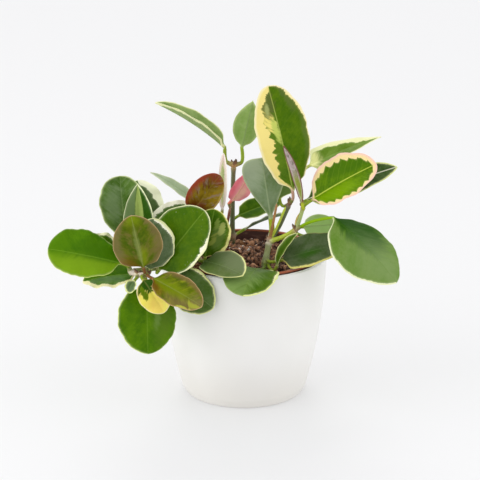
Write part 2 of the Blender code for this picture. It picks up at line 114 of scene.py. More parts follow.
def make_lights():
    """An even white sky, a broad sun, and the square lamps of LAMPS: place, side and power."""
    scene.world = bpy.data.worlds.new("studio_sky")
    scene.world.use_nodes = True
    sky = scene.world.node_tree.nodes["Background"]
    sky.inputs["Color"].default_value = (1.0, 1.0, 1.0, 1.0)
    sky.inputs["Strength"].default_value = SKY_STRENGTH
    sun = bpy.data.lights.new("high_sun", "SUN")
    sun.energy = SUN_STRENGTH
    sun.angle = math.radians(SUN_SPREAD)
    aimed(bpy.data.objects.new("high_sun", sun), SUN_FROM, (0.0, 0.0, 0.0))
    for name, (place, side, power) in LAMPS.items():
        lamp = bpy.data.lights.new(name, "AREA")
        lamp.energy = power
        lamp.size = side
        aimed(bpy.data.objects.new(name, lamp), place, LAMP_TARGET)


def make_camera():
    camera = bpy.data.cameras.new("camera")
    camera.lens = CAMERA_LENS
    camera.sensor_width = 36.0
    scene.camera = aimed(bpy.data.objects.new("camera", camera), CAMERA_PLACE, CAMERA_TARGET)


make_floor()
make_lights()
make_camera()
print("studio: camera", CAMERA_PLACE, "lens", CAMERA_LENS)


# %% [markdown]
# ## Shader arithmetic
#
# A procedural finish is a sum: how far is this point from the leaf's edge, is that less than the
# margin's width, then mix in cream. Wiring it node by node hides that, so a small class wraps a
# socket, and an ordinary Python expression on it adds the Math nodes.

# %% Wire
class Wire:
    """An output socket in a material's node tree. Arithmetic on wires adds Math nodes."""

    def __init__(self, tree, socket=None):
        self.tree = tree
        self.socket = socket

    def node(self, kind, settings=(), inputs=(), out=0):
        """Adds a node of a type, sets its settings first, and feeds its sockets with values or wires.

        It gives the output that out names, or a list of wires where out is a list.
        """
        made = self.tree.nodes.new(kind)
        for key, value in dict(settings).items():
            setattr(made, key, value)
        for key, value in dict(inputs).items():
            if isinstance(value, Wire):
                self.tree.links.new(value.socket, made.inputs[key])
            else:
                made.inputs[key].default_value = value
        if isinstance(out, list):
            return [Wire(self.tree, made.outputs[key]) for key in out]
        return Wire(self.tree, made.outputs[out])

    def math(self, operation, *values):
        return self.node("ShaderNodeMath", {"operation": operation}, enumerate((self, *values)))

    def __add__(self, other):
        return self.math("ADD", other)

    def __radd__(self, other):
        return self.math("ADD", other)

    def __sub__(self, other):
        return self.math("SUBTRACT", other)

    def __rsub__(self, other):
        return (self * -1.0) + other

    def __mul__(self, other):
        return self.math("MULTIPLY", other)

    def __rmul__(self, other):
        return self.math("MULTIPLY", other)

    def __truediv__(self, other):
        return self.math("DIVIDE", other)

    def __abs__(self):
        return self.math("ABSOLUTE")

    def fraction(self):
        return self.math("FRACT")

    def above(self, limit):
        return self.math("GREATER_THAN", limit)

    def ramp(self, low, high):
        """0 below low, 1 above high, with a smooth rise between them."""
        return self.node(
            "ShaderNodeMapRange",
            {"interpolation_type": "SMOOTHSTEP"},
            {"Value": self, "From Min": low, "From Max": high},
        )

    def parts(self):
        """The three numbers of a vector wire."""
        return self.node("ShaderNodeSeparateXYZ", {}, {0: self}, out=[0, 1, 2])

    def vector(self, x, y, z):
        return self.node("ShaderNodeCombineXYZ", {}, {"X": x, "Y": y, "Z": z})

    def noise(self, x, y, z, detail=2.0, roughness=0.5):
        """Smooth noise about 0.5 of a place given by three numbers."""
        return self.node(
            "ShaderNodeTexNoise",
            {"noise_dimensions": "3D"},
            {"Vector": self.vector(x, y, z), "Scale": 1.0, "Detail": detail, "Roughness": roughness},
        )

    def mix(self, mask, under, over):
        """A colour: under where the mask is 0 and over where it is 1, each a wire or a screen colour."""
        return self.node(
            "ShaderNodeMix", {"data_type": "RGBA"}, {0: mask, 6: solid(under), 7: solid(over)}, out=2
        )


def linear(colour):
    """A screen colour, 0 to 255, as the linear colour that a shader takes."""
    share = np.array(colour) / 255.0
    bright = ((share + 0.055) / 1.055) ** 2.4
    return tuple(float(part) for part in np.where(share <= 0.04045, share / 12.92, bright))


def solid(colour):
    """A wire as it is, and a screen colour as a linear one with its alpha."""
    return colour if isinstance(colour, Wire) else (*linear(colour), 1.0)


def new_finish(name):
    """A material with its Principled shader, and a Wire to write its arithmetic with."""
    made = bpy.data.materials.new(name)
    made.use_nodes = True
    return made, made.node_tree.nodes["Principled BSDF"], Wire(made.node_tree)


def feed(shader, key, wire):
    wire.tree.links.new(wire.socket, shader.inputs[key])


def bump(net, height, depth, strength=1.0):
    """A Bump node of a height in millimetres."""
    return net.node(
        "ShaderNodeBump", {}, {"Height": height, "Strength": strength, "Distance": depth * MM}, out="Normal"
    )


print("shader arithmetic ready")


# %% [markdown]
# ## Meshes from arrays
#
# Every piece here is a stack of closed loops: a petiole's sections, a leaf's sections, the rings of a
# pot. One helper joins such a stack into a closed skin, and stores numbers on its points that the
# finishes read, such as how far each point of a leaf is from the edge.

# %% Skins from stacked loops
def unit(vectors):
    return vectors / np.linalg.norm(vectors, axis=-1, keepdims=True)


def ease(value, low, high):
    """The same smooth rise as Wire.ramp, for arrays."""
    share = np.clip((value - low) / (high - low), 0.0, 1.0)
    return share * share * (3.0 - 2.0 * share)


def loop_faces(rings, around):
    """Quads between neighbouring loops, and a fan of triangles to a middle point at each end."""
    ring = np.arange(rings - 1)[:, None] * around
    step = np.arange(around)[None, :]
    onward = (step + 1) % around
    quads = np.stack([ring + step, ring + onward, ring + around + onward, ring + around + step], axis=-1)
    first, last = rings * around, rings * around + 1
    end = (rings - 1) * around
    fans = [(first, int(b), int(a)) for a, b in zip(step[0], onward[0])]
    fans += [(last, int(end + a), int(end + b)) for a, b in zip(step[0], onward[0])]
    return quads.reshape(-1, 4).tolist() + fans


def stacked(loops):
    """The points and faces of a closed skin over loops (rings, around, 3), in millimetres."""
    rings, around = loops.shape[:2]
    points = np.vstack([loops.reshape(-1, 3), loops[0].mean(0), loops[-1].mean(0)])
    return points, loop_faces(rings, around)


def with_ends(values):
    """A number for every point of a stack (rings, around, ...), and for its two end points."""
    flat = values.reshape(-1, *values.shape[2:])
    return np.concatenate([flat, values[0].mean(0)[None], values[-1].mean(0)[None]])


def new_piece(name, points, faces, numbers=(), replaces=(), finish=None):
    """A mesh object at the origin, its points in millimetres, riding on the plant's one body."""
    mesh = bpy.data.meshes.new(name)
    mesh.from_pydata((points * MM).tolist(), [], faces)
    for key, values in dict(numbers).items():
        kept = mesh.attributes.new(key, "FLOAT_VECTOR", "POINT")
        kept.data.foreach_set("vector", np.asarray(values, np.float32).ravel())
    mesh.shade_smooth()
    mesh.update()
    piece = bpy.data.objects.new(name, mesh)
    scene.collection.objects.link(piece)
    if finish:
        mesh.materials.append(finish)
    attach(piece, "root")
    if replaces:
        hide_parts(*replaces)
    return piece


def merged(shells):
    """Several (points, faces) shells as one, each keeping its own faces."""
    starts = np.cumsum([0] + [len(shell[0]) for shell in shells])
    faces = [
        tuple(int(start) + i for i in face) for start, shell in zip(starts, shells) for face in shell[1]
    ]
    return np.vstack([shell[0] for shell in shells]), faces


print("mesh helpers ready")


# %% [markdown]
# ## The cover pot
#
# Glazed earthenware: a wall that is full at the rim and draws in faster and faster towards its base, a
# lip rounded by the glaze, and a small round foot. It is a profile turned about Z, which numpy does in
# one multiplication. The glaze is white with a trace of warmth, and its surface is never quite level,
# so a very shallow, wide bump keeps the reflections alive.

# %% Turned pieces
POT_HEIGHT = 122.0
RIM_RADIUS = 70.0
BASE_RADIUS = 52.0
BELLY = 1.9
POT_WALL = 3.2
POT_FLOOR = 4.0
FOOT_ROUND = 4.0
TURN_STEPS = 160
AXIS_HOLE = 0.5


def turned(profile, steps=TURN_STEPS):
    """A profile of (radius, height) rows turned about Z: each row times the cosines and sines of all steps.

    It starts and ends beside the axis, where a fan of triangles closes the small hole.
    """
    profile = np.asarray(profile, float)
    angle = np.linspace(0.0, 2.0 * np.pi, steps, endpoint=False)
    loops = np.stack(
        [
            profile[:, :1] * np.cos(angle),
            profile[:, :1] * np.sin(angle),
            np.broadcast_to(profile[:, 1:], (len(profile), steps)),
        ],
        axis=-1,
    )
    return stacked(loops)


def pot_radius(height):
    """Full at the rim, drawing in by a power of the way down."""
    return RIM_RADIUS - (RIM_RADIUS - BASE_RADIUS) * (1.0 - height / POT_HEIGHT) ** BELLY


def arc(middle, radius, start, end, count):
    """Rows of an arc, its angles in degrees from the outward direction."""
    angle = np.radians(np.linspace(start, end, count))
    return np.stack([middle[0] + radius * np.cos(angle), middle[1] + radius * np.sin(angle)], axis=1)


def cover_pot_profile():
    """From the middle of the base, out round the foot, up the wall, over the lip, and down the inside."""
    lip = POT_WALL / 2
    height = np.linspace(FOOT_ROUND + 2.0, POT_HEIGHT - lip, 40)
    outside = np.stack([pot_radius(height), height], axis=1)
    down = np.linspace(POT_HEIGHT - lip, POT_FLOOR + 3.0, 30)
    inside = np.stack([pot_radius(down) - POT_WALL, down], axis=1)
    foot = arc((BASE_RADIUS - FOOT_ROUND, FOOT_ROUND), FOOT_ROUND, -90.0, -10.0, 8)
    crown = arc((RIM_RADIUS - lip, POT_HEIGHT - lip), lip, 15.0, 165.0, 9)
    floor_edge = pot_radius(POT_FLOOR) - POT_WALL - 3.0
    floor = [(floor_edge, POT_FLOOR), (AXIS_HOLE, POT_FLOOR)]
    return np.vstack([[(AXIS_HOLE, 0.0)], foot, outside, crown, inside, floor])


def glaze_finish():
    """White, clouded a little, and a trace darker at the foot: painted shade."""
    made, shader, net = new_finish("white_glaze")
    place = net.node("ShaderNodeTexCoord", out="Object")
    x, y, z = place.parts()
    cloud = net.noise(x * 18.0, y * 18.0, z * 12.0, detail=2.0)
    # Painted shade: the glaze darkens towards the foot.
    foot_shade = z.ramp(0.06, 0.0)
    white = net.mix(cloud.ramp(0.35, 0.7), (233, 232, 229), (237, 236, 234))
    feed(shader, "Base Color", net.mix(foot_shade * 0.55, white, (216, 211, 202)))
    feed(shader, "Roughness", 0.34 + cloud * 0.1)
    level = net.noise(x * 55.0, y * 55.0, z * 40.0, detail=1.0)
    peel = net.noise(x * 900.0, y * 900.0, z * 900.0, detail=1.0)
    feed(shader, "Normal", bump(net, level * 0.3 + peel * 0.04, 0.12))
    shader.inputs["Coat Weight"].default_value = 0.35
    shader.inputs["Coat Roughness"].default_value = 0.12
    return made


points, faces = turned(cover_pot_profile())
new_piece("glazed_pot", points, faces, replaces=["cover_pot"], finish=glaze_finish())
print("cover pot:", len(faces), "faces, from z", points[:, 2].min(), "to", points[:, 2].max())


# %% [markdown]
# ## The growing pot
#
# A thin plastic pot, terracotta brown, with a stiff lip that rests just above the white rim. Only its
# lip and the top of its inner wall are ever seen. The plastic is a little dusty from the compost, and
# water has left faint tide lines on it.

# %% Growing pot
TOUCH = 0.3
GROW_LIP_TOP = 123.2
GROW_LIP_RADIUS = 65.6
GROW_LIP_DEPTH = 7.0
GROW_MOUTH_RADIUS = 63.2
GROW_BASE_RADIUS = 43.0
GROW_WALL = 1.4
GROW_FLOOR = 2.0


def grow_radius(height):
    """A straight taper from the base to the mouth."""
    base = POT_FLOOR + TOUCH
    spread = GROW_MOUTH_RADIUS - GROW_BASE_RADIUS
    return GROW_BASE_RADIUS + spread * (height - base) / (GROW_LIP_TOP - base)


def grow_profile():
    """Up the tapered wall, out to the lip's skirt, over the lip, and down the inside to the floor."""
    base = POT_FLOOR + TOUCH
    lip_foot = GROW_LIP_TOP - GROW_LIP_DEPTH
    wall = np.linspace(base, lip_foot, 12)
    outside = np.stack([grow_radius(wall), wall], axis=1)
    down = np.linspace(lip_foot, base + GROW_FLOOR, 14)
    inside = np.stack([grow_radius(down) - GROW_WALL, down], axis=1)
    outer_round = arc((GROW_LIP_RADIUS - 0.7, GROW_LIP_TOP - 0.7), 0.7, 0.0, 90.0, 6)
    inner_round = arc((GROW_MOUTH_RADIUS + 0.1, GROW_LIP_TOP - 0.9), 0.9, 100.0, 175.0, 6)
    skirt = [(GROW_LIP_RADIUS - 0.5, lip_foot), (GROW_LIP_RADIUS, lip_foot + 0.5)]
    floor = [(AXIS_HOLE, base + GROW_FLOOR)]
    return np.vstack([[(AXIS_HOLE, base)], outside, skirt, outer_round, inner_round, inside, floor])


def brown_plastic_finish():
    """Terracotta brown, with painted shade darkening it below the lip, under a veil of dust."""
    made, shader, net = new_finish("brown_plastic")
    x, y, z = net.node("ShaderNodeTexCoord", out="Object").parts()
    dust = net.noise(x * 120.0, y * 120.0, z * 300.0, detail=4.0, roughness=0.65)
    # Painted shade: below the lip the plastic turns dark maroon, as the inside of the pot is in shade.
    depth = z.ramp(0.1228, 0.1216)
    plastic_and_shade = net.mix(depth, (176, 88, 52), (74, 32, 25))
    feed(shader, "Base Color", net.mix(dust.ramp(0.5, 0.75) * 0.45, plastic_and_shade, (150, 112, 92)))
    feed(shader, "Roughness", 0.42 + dust * 0.25)
    feed(shader, "Normal", bump(net, dust, 0.12))
    return made


points, faces = turned(grow_profile())
finish = brown_plastic_finish()
new_piece("growing_pot", points, faces, replaces=["nursery_pot"], finish=finish)
print("growing pot:", len(faces), "faces")


# %% [markdown]
# ## Where the stems run
#
# The stems are a few smooth curves through named places, and every leaf starts at one of those places.
# They come first, because the compost is strewn round the stems' feet. They are the frame's own places,
# so that each fine piece covers its plain one.

# %% The plant's places
PLACES = {
    "right_foot": (18, -25, 124),
    "right_fork": (21, -22, 139),
    "right_elbow": (43, -26, 150),
    "right_top": (49, -28, 171),
    "right_rear_top": (38, -14, 169),
    "left_rise": (-60, -26, 128),
    "left_inner": (-71, -36, 121),
    "left_outer": (-94, -46, 120),
    "left_second": (-87, -54, 120),
    "left_tip": (-79, -59, 122),
    "rear_left_rise": (-66, -10, 128),
    "rear_left_top": (-88, -22, 138),
    "middle_low": (-38, -34, 127),
    "middle_top": (-39, -10, 152),
    "back_low": (-10, 46, 122),
    "back_top": (-9, 46, 186),
    "thin_top": (-12, 40, 150),
}

# A run of stem: the places that it passes, its radius at its start and end, and its colour.
Run = namedtuple("Run", "points start end skin", defaults=("stem_green",))
STEMS = {
    "stem_right": [
        Run([(17, -24, 96), (17, -24, 119), "right_foot", "right_fork"], 2.7, 2.4, "stem_grey"),
        Run(["right_fork", (31, -25, 143), "right_elbow"], 2.0, 1.8, "stem_lime"),
        Run(["right_elbow", (46, -27, 160), "right_top"], 1.8, 1.6, "stem_pale"),
        Run(["right_fork", (29, -18, 150), "right_rear_top"], 1.9, 1.7, "stem_dark"),
        Run(["right_fork", (24, -26, 156), (27, -27, 173)], 1.4, 0.9, "stem_orange"),
        Run(["right_fork", (27, -21, 150), (34.5, -19.5, 168)], 1.2, 1.0, "stem_lime"),
        Run(["right_elbow", (44, -22, 158), (49, -20, 166)], 1.4, 0.9, "stem_tan"),
    ],
    "stem_left": [
        Run(
            [(-44, -16, 96), (-44, -16, 119), (-50, -19, 126), "left_rise", "left_inner", "left_outer"],
            2.4, 2.2,
        ),
        Run(["left_outer", "left_second", "left_tip"], 2.1, 1.8, "stem_cream"),
    ],
    "stem_left_rear": [
        Run([(-38, 6, 96), (-38, 6, 119), (-46, 2, 126), "rear_left_rise", "rear_left_top"], 2.2, 1.8),
    ],
    "stem_middle": [
        Run([(-34, -28, 96), (-34, -28, 119), "middle_low", (-40, -22, 140), "middle_top"], 2.2, 1.5),
    ],
    "stem_back": [Run([(-10, 46, 96), "back_low", (-10, 46, 150), "back_top"], 2.4, 1.9, "stem_dark")],
    "stem_thin": [Run([(-17, 40, 96), (-17, 40, 119), "thin_top"], 1.4, 1.2, "stem_red")],
}
NODE_SWELLING = 1.45
CUSHION_LENGTH = 2.6


def place_of(spot):
    return np.array(PLACES[spot] if isinstance(spot, str) else spot, float)


def stem_radius_at(spot):
    """The thickest run that starts, ends or passes at a named place."""
    return max(max(run.start, run.end) for runs in STEMS.values() for run in runs if spot in run.points)


print("places:", len(PLACES), "stems:", len(STEMS))


# %% [markdown]
# ## The compost
#
# Coarse compost is clods and crumbs of many sizes with bark, fibres and white perlite on top. The
# surface itself is a fine grid with a formula for its mound, and lumps from value noise on it. Then
# seeded loops scatter crumbs, bark chips and perlite over it: each is a small ball of few faces,
# pulled out of shape by its own random numbers, half sunk in the surface.

# %% Compost surface
SOIL_TOP = 114.0
SOIL_MOUND = 3.0
SOIL_LUMPS = 2.0
SOIL_FOOT = 6.6
LATTICE = 64


def value_noise(x, y, cell, seed):
    """Smooth random heights from 0 to 1: random numbers on a square lattice, eased between."""
    table = np.random.default_rng(seed).random((LATTICE, LATTICE))
    u, v = x / cell + 97.0, y / cell + 97.0
    i, j = np.floor(u).astype(int), np.floor(v).astype(int)
    a, b = ease(u - i, 0.0, 1.0), ease(v - j, 0.0, 1.0)
    i0, j0, i1, j1 = i % LATTICE, j % LATTICE, (i + 1) % LATTICE, (j + 1) % LATTICE
    low = table[i0, j0] * (1 - a) + table[i1, j0] * a
    high = table[i0, j1] * (1 - a) + table[i1, j1] * a
    return low * (1 - b) + high * b


def soil_height(x, y):
    """A low mound, long waves of two products of sines, and value noise of three sizes for the clods.

    The waves and clods fade to nothing at the pot's wall.
    """
    reach = np.hypot(x, y) / (grow_radius(SOIL_TOP) - GROW_WALL)
    inner = np.clip(1.0 - reach**2, 0.0, 1.0)
    waves = np.sin(0.21 * x + 0.6) * np.cos(0.17 * y - 0.9) + 0.6 * np.sin(0.33 * x - 0.29 * y + 1.7)
    clods = (value_noise(x, y, 9.0, 3) - 0.5) * 3.2
    clods += (value_noise(x, y, 4.2, 4) - 0.5) * 2.4 + (value_noise(x, y, 1.9, 5) - 0.5) * 1.3
    return SOIL_TOP + SOIL_MOUND * inner + SOIL_LUMPS * np.sqrt(inner) * waves + clods * inner**0.15


def soil_finish(name, dark, light, pale):
    """Dark and light earth in broad patches, with pale grains over both."""
    made, shader, net = new_finish(name)
    x, y, z = net.node("ShaderNodeTexCoord", out="Object").parts()
    fine = net.noise(x * 900.0, y * 900.0, z * 900.0, detail=3.0, roughness=0.65)
    broad = net.noise(x * 160.0, y * 160.0, z * 160.0, detail=3.0)
    earth = net.mix(broad.ramp(0.41, 0.63), dark, light)
    feed(shader, "Base Color", net.mix(fine.ramp(0.52, 0.8) * 0.7, earth, pale))
    feed(shader, "Roughness", 0.8 + fine * 0.2)
    feed(shader, "Normal", bump(net, fine + broad, 0.5))
    return made


def make_soil():
    """Rings up the pot's taper from the compost's foot, then rings of the top from the wall inwards."""
    reach = grow_radius(SOIL_TOP) - GROW_WALL - TOUCH
    radius = reach * np.linspace(1.0, 0.006, 110)
    angle = np.linspace(0.0, 2.0 * np.pi, 200, endpoint=False)
    x, y = radius[:, None] * np.cos(angle), radius[:, None] * np.sin(angle)
    top = np.stack([x, y, soil_height(x, y)], axis=-1)
    depth = np.array([SOIL_FOOT, SOIL_FOOT, 40.0, 80.0, 110.0])
    wall = np.array([AXIS_HOLE, *(grow_radius(depth[1:]) - GROW_WALL - TOUCH)])
    height = np.broadcast_to(depth[:, None], (len(depth), len(angle)))
    side = np.stack([wall[:, None] * np.cos(angle), wall[:, None] * np.sin(angle), height], axis=-1)
    points, faces = stacked(np.vstack([side, top]))
    finish = soil_finish("compost", (44, 25, 18), (140, 98, 68), (198, 160, 130))
    return new_piece("compost", points, faces, replaces=["soil"], finish=finish)


print("compost:", len(make_soil().data.polygons), "faces")


# %% Crumbs, bark, perlite and fibres
STEM_FEET = [runs[0].points[0][:2] for runs in STEMS.values()]
FOOT_ROOM = 3.2


def pebble(rng, centre, size, flat):
    """A small ball of 8 by 5 points, each point's radius drawn at random, squeezed, stretched and turned."""
    around = np.linspace(0.0, 2.0 * np.pi, 8, endpoint=False)
    tilt = np.linspace(-1.15, 1.15, 5)[:, None]
    height = np.broadcast_to(np.sin(tilt), (5, 8))
    ball = np.stack([np.cos(tilt) * np.cos(around), np.cos(tilt) * np.sin(around), height], axis=-1)
    ball = ball * rng.uniform(0.6, 1.2, (5, 8, 1)) * np.array([1.15, rng.uniform(0.35, 0.8), flat])
    turn = np.linalg.qr(rng.normal(size=(3, 3)))[0]
    turn = turn * np.sign(np.linalg.det(turn))
    return stacked(ball @ turn.T * size + centre)


def scattered(name, count, sizes, flat, sink, seed, finish):
    """Pebbles over the compost, away from the stems, sunk into it by a share of their size."""
    rng = np.random.default_rng(seed)
    reach = grow_radius(SOIL_TOP) - GROW_WALL - 1.0
    shells = []
    while len(shells) < count:
        size = sizes[0] + (sizes[1] - sizes[0]) * rng.random() ** 2.5
        away, way = (reach - size) * math.sqrt(rng.random()), rng.uniform(0.0, 2.0 * math.pi)
        x, y = away * math.cos(way), away * math.sin(way)
        if any(math.hypot(x - a, y - b) < FOOT_ROOM + size for a, b in STEM_FEET):
            continue
        z = float(soil_height(np.array(x), np.array(y))) + size * flat * (1.0 - sink)
        shells.append(pebble(rng, np.array([x, y, z]), size, flat))
    points, faces = merged(shells)
    return new_piece(name, points, faces, finish=finish)


crumb_finish = soil_finish("crumbs", (58, 32, 24), (190, 138, 104), (236, 200, 172))
bark_finish = soil_finish("bark", (110, 70, 46), (168, 122, 84), (204, 164, 128))
perlite_finish = soil_finish("perlite", (232, 226, 218), (250, 247, 242), (255, 253, 250))
scattered("compost_crumbs", 1700, (0.5, 4.4), flat=0.62, sink=0.6, seed=11, finish=crumb_finish)
scattered("bark_chips", 90, (2.4, 5.6), flat=0.36, sink=0.15, seed=12, finish=bark_finish)
scattered("perlite_grains", 90, (0.9, 2.1), flat=0.9, sink=0.0, seed=13, finish=perlite_finish)
print("compost dressed")


# %% [markdown]
# ## How a leaf is shaped
#
# A wax plant's leaf is a thick, stiff oval on a short stalk. Its halves rise a little from the
# midrib, its edge ripples, and the midrib is a groove above and a rib below. It could be modelled
# once and bent for each place. But no two leaves here are alike, and each is seen from close by, so
# each is worked out on its own, from the same formula with its own numbers.
#
# A section across the leaf is a closed loop. On the stalk the loop is round. Over the blade's neck it
# turns into a flat, lens-like loop, as wide as the leaf's outline is there.

# %% Where a leaf stands
# A gap is the distance in millimetres from one notch, lobe, crimp or side vein to the next.
LEAF_LOOP = 35
BLADE_STATIONS = 72
STALK_STATIONS = 12
NECK = 0.12
LEAF_THICKNESS = 1.3
RIB_DEPTH = 0.45
THIN_STALK = 0.35
CENTRED = 0.35
VEIN_SLANT = 0.8
VEIN_GAP = 6.5
QUILT = 0.05
NOTCH_GAP = 6.3
LOBE_GAP = 14.5
CRIMP_GAP = 7.1
WAVES = 3.1
NAME_PHASE = 0.13

# A leaf grows at a place. Its blade runs from base to tip with its upper side towards faces. Arch and wave
# are heights, fold is how far the halves rise in degrees, bend is the stalk's, and teeth is the notches'
# depth. Widest is the widest place's share of the length, and a larger point makes both ends more pointed.
Leaf = namedtuple(
    "Leaf",
    "place base tip faces width arch fold wave widest petiole bend teeth point",
    defaults=(2.0, 12.0, 1.0, 0.5, 1.3, 0.45, 0.3, 1.15),
)


def leaf_frame(row):
    """The blade's length, its direction from base to tip, and the direction that its upper side faces."""
    base, tip = np.array(row.base, float), np.array(row.tip, float)
    length = np.linalg.norm(tip - base)
    onward = (tip - base) / length
    faces = np.array(row.faces, float)
    return length, onward, unit(faces - onward * (faces @ onward))


def petiole_bend(row):
    """The stalk's middle control point: the row's own, or a share of the way back from the blade."""
    if not np.isscalar(row.bend):
        return np.array(row.bend, float)
    length, onward, upward = leaf_frame(row)
    base = np.array(row.base, float)
    first = unit(onward * length + upward * 4.0 * row.arch)
    return base - first * row.bend * np.linalg.norm(base - place_of(row.place))


def cushion_of(row):
    """Where the leaf's cushion on the stem ends, and the direction that it points in."""
    middle = place_of(row.place)
    outward = unit(petiole_bend(row) - middle)
    return middle + outward * (stem_radius_at(row.place) * NODE_SWELLING + CUSHION_LENGTH), outward


print("a leaf's row has", len(Leaf._fields), "fields")


# %% A leaf's sections
def middle_line(row):
    """The leaf's middle line: its points, the directions across it and up from it, and its two shares.

    It is a quadratic curve along the stalk, where s is the share, then a parabola over the blade's
    chord, where t is. The blade's stations stand closer together towards its two ends.
    """
    length, onward, upward = leaf_frame(row)
    base, bend, root = np.array(row.base, float), petiole_bend(row), cushion_of(row)[0]
    s = np.linspace(0.0, 1.0, STALK_STATIONS, endpoint=False)[:, None]
    stalk_line = root * (1 - s) ** 2 + 2 * bend * s * (1 - s) + base * s**2
    stalk_way = 2 * (bend - root) * (1 - s) + 2 * (base - bend) * s
    even = np.linspace(0.0, 1.0, BLADE_STATIONS)
    t = (0.45 * (1.0 - np.cos(np.pi * even)) / 2.0 + 0.55 * even)[:, None]
    blade_line = base + onward * length * t + upward * 4.0 * row.arch * t * (1.0 - t)
    blade_way = onward * length + upward * 4.0 * row.arch * (1.0 - 2.0 * t)
    way = unit(np.vstack([stalk_way, blade_way]))
    side = np.cross(onward, upward)
    side = unit(side - way * (way @ side)[:, None])
    return np.vstack([stalk_line, blade_line]), side, np.cross(side, way), s, t


def half_width(t, row):
    """An oval: t and 1 - t to two powers, scaled to be the half width where the leaf is widest."""
    a, b = row.point * row.widest, row.point * (1.0 - row.widest)
    return 0.5 * row.width * (t**a * (1.0 - t) ** b) / (row.widest**a * (1.0 - row.widest) ** b)


def edge_and_lift(name, row, seed, share, v):
    """Half the blade's width, and how high the blade lies over its middle line, at each share and v.

    The width is the oval with short notches and longer lobes of sines. The height is the fold's slope,
    a ripple that grows with v^2, a crimp at the edge with |v|^3, and low ridges along the side veins.
    """
    rng = np.random.default_rng(seed)
    along = share * leaf_frame(row)[0]
    ends = ease(share, 0.02, 0.2) * ease(1.0 - share, 0.0, 0.1)
    phase = rng.uniform(0.0, 2.0 * np.pi, 6)
    other = np.where(v > 0, 0.0, 1.9)
    teeth = np.abs(np.sin(np.pi * along / NOTCH_GAP + phase[0] + other)) - 0.6
    teeth = teeth + 0.9 * np.sin(2 * np.pi * along / LOBE_GAP + phase[1] + 2.0 * other)
    half = np.maximum(half_width(share, row), THIN_STALK) + teeth * row.teeth * ends

    start = NAME_PHASE * len(name)
    ripple = row.wave * v**2 * np.sin(2 * np.pi * (WAVES * share + 0.27 * v + start))
    crimp = np.abs(v) ** 3 * np.sin(2 * np.pi * along / CRIMP_GAP + phase[2] + 2.0 * v)
    ripple = ripple + 0.5 * row.teeth * crimp
    across = half * v
    vein = along - np.abs(across) * VEIN_SLANT
    quilt = QUILT * np.sin(2 * np.pi * vein / VEIN_GAP + phase[3])
    quilt = quilt * (1.0 - v**2) * np.minimum(np.abs(across) / 4.0, 1.0)
    slope = half * np.abs(v) * math.sin(np.radians(row.fold))
    return half, slope + ripple * np.minimum(half / 8.0, 1.0) + quilt * ends


def leaf_loops(name, row, seed):
    """The leaf's sections as closed loops (stations, around, 3), and the numbers its finish reads.

    A point w from -1 to 1 round a section is at w on the round stalk, and at v = w |w|^0.35 across the
    blade, which puts more points at the midrib. Over the neck the round section turns into a lens,
    which is thick by a power of 1 - w^2, and less thick where the midrib's groove is.
    """
    line, side, top, s, t = middle_line(row)
    share = np.vstack([np.zeros_like(s), t])
    w = -np.cos(np.pi * np.arange(LEAF_LOOP) / (LEAF_LOOP - 1))[None, :]
    v = w * np.abs(w) ** CENTRED
    half, lift = edge_and_lift(name, row, seed, share, v)
    across = half * v
    groove = np.exp(-((across / 0.9) ** 2)) * (1.0 - 0.6 * share)
    thick = LEAF_THICKNESS / 2.0 * (1.0 - 0.5 * v**2) * (1.0 - w**2) ** 0.3
    flat = ease(share, 0.0, NECK)
    circle = np.sqrt(np.maximum(1.0 - w**2, 0.0)) * row.petiole
    out = (1 - flat) * row.petiole * w + flat * (across * math.cos(np.radians(row.fold)))
    upper = (1 - flat) * circle + flat * (lift + thick - groove * RIB_DEPTH * 0.6)
    lower = -(1 - flat) * circle + flat * (lift - thick - groove * RIB_DEPTH)

    def surface(up):
        return line[:, None, :] + side[:, None, :] * out[:, :, None] + top[:, None, :] * up[:, :, None]

    def looped(first, second):
        """Across the upper side from -1 to 1, then back under the leaf."""
        return np.concatenate([first, second[:, -2:0:-1]], axis=1)

    length = leaf_frame(row)[0]
    slope = np.gradient(half_width(t[:, 0], row), t[:, 0] * length)
    slope = np.concatenate([np.zeros(len(s)), slope])[:, None]
    rim = half * (1.0 - np.abs(v)) / np.sqrt(1.0 + np.minimum(slope**2, 25.0))
    blade = np.stack([np.broadcast_to(share * length, out.shape), across * (flat > 0), rim], axis=-1)
    region = np.stack([np.ones(out.shape), *np.broadcast_arrays(np.vstack([s - 1.0, t]), v)], axis=-1)
    loops = looped(surface(upper), surface(lower))
    return loops, looped(blade, blade), looped(region, region * np.array([0.0, 1.0, 1.0]))


print("leaf formula ready")


# %% [markdown]
# ## How a leaf is painted
#
# Variegated leaves have cells with no green in them: at the margin they leave cream or yellow, and
# where a thin layer of them lies over green cells the leaf looks grey-green. The grey leaves' grey-green
# is partly painted sheen as well, the shine of the wax where a leaf faces the light. Young leaves are
# bronze, with pink where they will be cream. So a leaf's colour is worked out in layers, in millimetres
# on the blade: two greens in clouds and in streaks along the side veins, blots of other colours with
# edges that run out along the veins, some of which are painted sheen and painted highlights, the
# midrib, the cream margin with its jagged inner line, and the thin rim. The underside is paler and
# duller, and the stalk has its own colour. Some pale and young leaves also glow a little, painted light
# for the light that shines through them.

# %% Leaf paints
CREAM = (246, 238, 196)
PALE_CREAM = (250, 247, 226)
YELLOW = (240, 214, 112)
LIME_CREAM = (222, 230, 150)
GREEN = (82, 118, 0)
GRASS = (118, 152, 34)
DEEP = (58, 96, 0)
DUSTY = (80, 106, 58)
GLAUCOUS = (104, 126, 88)
SAGE = (130, 148, 110)
OLIVE = (80, 92, 0)
TAN_PINK = (206, 158, 124)
RIB_GREEN = (140, 172, 66)
PAINTED_VEIN_GAP = 5.6
PAINTED_LOBE_GAP = 6.4
SPECK_SCALE = 0.62
WAX_SHINE = 0.07
SEED_STEP = 7.31

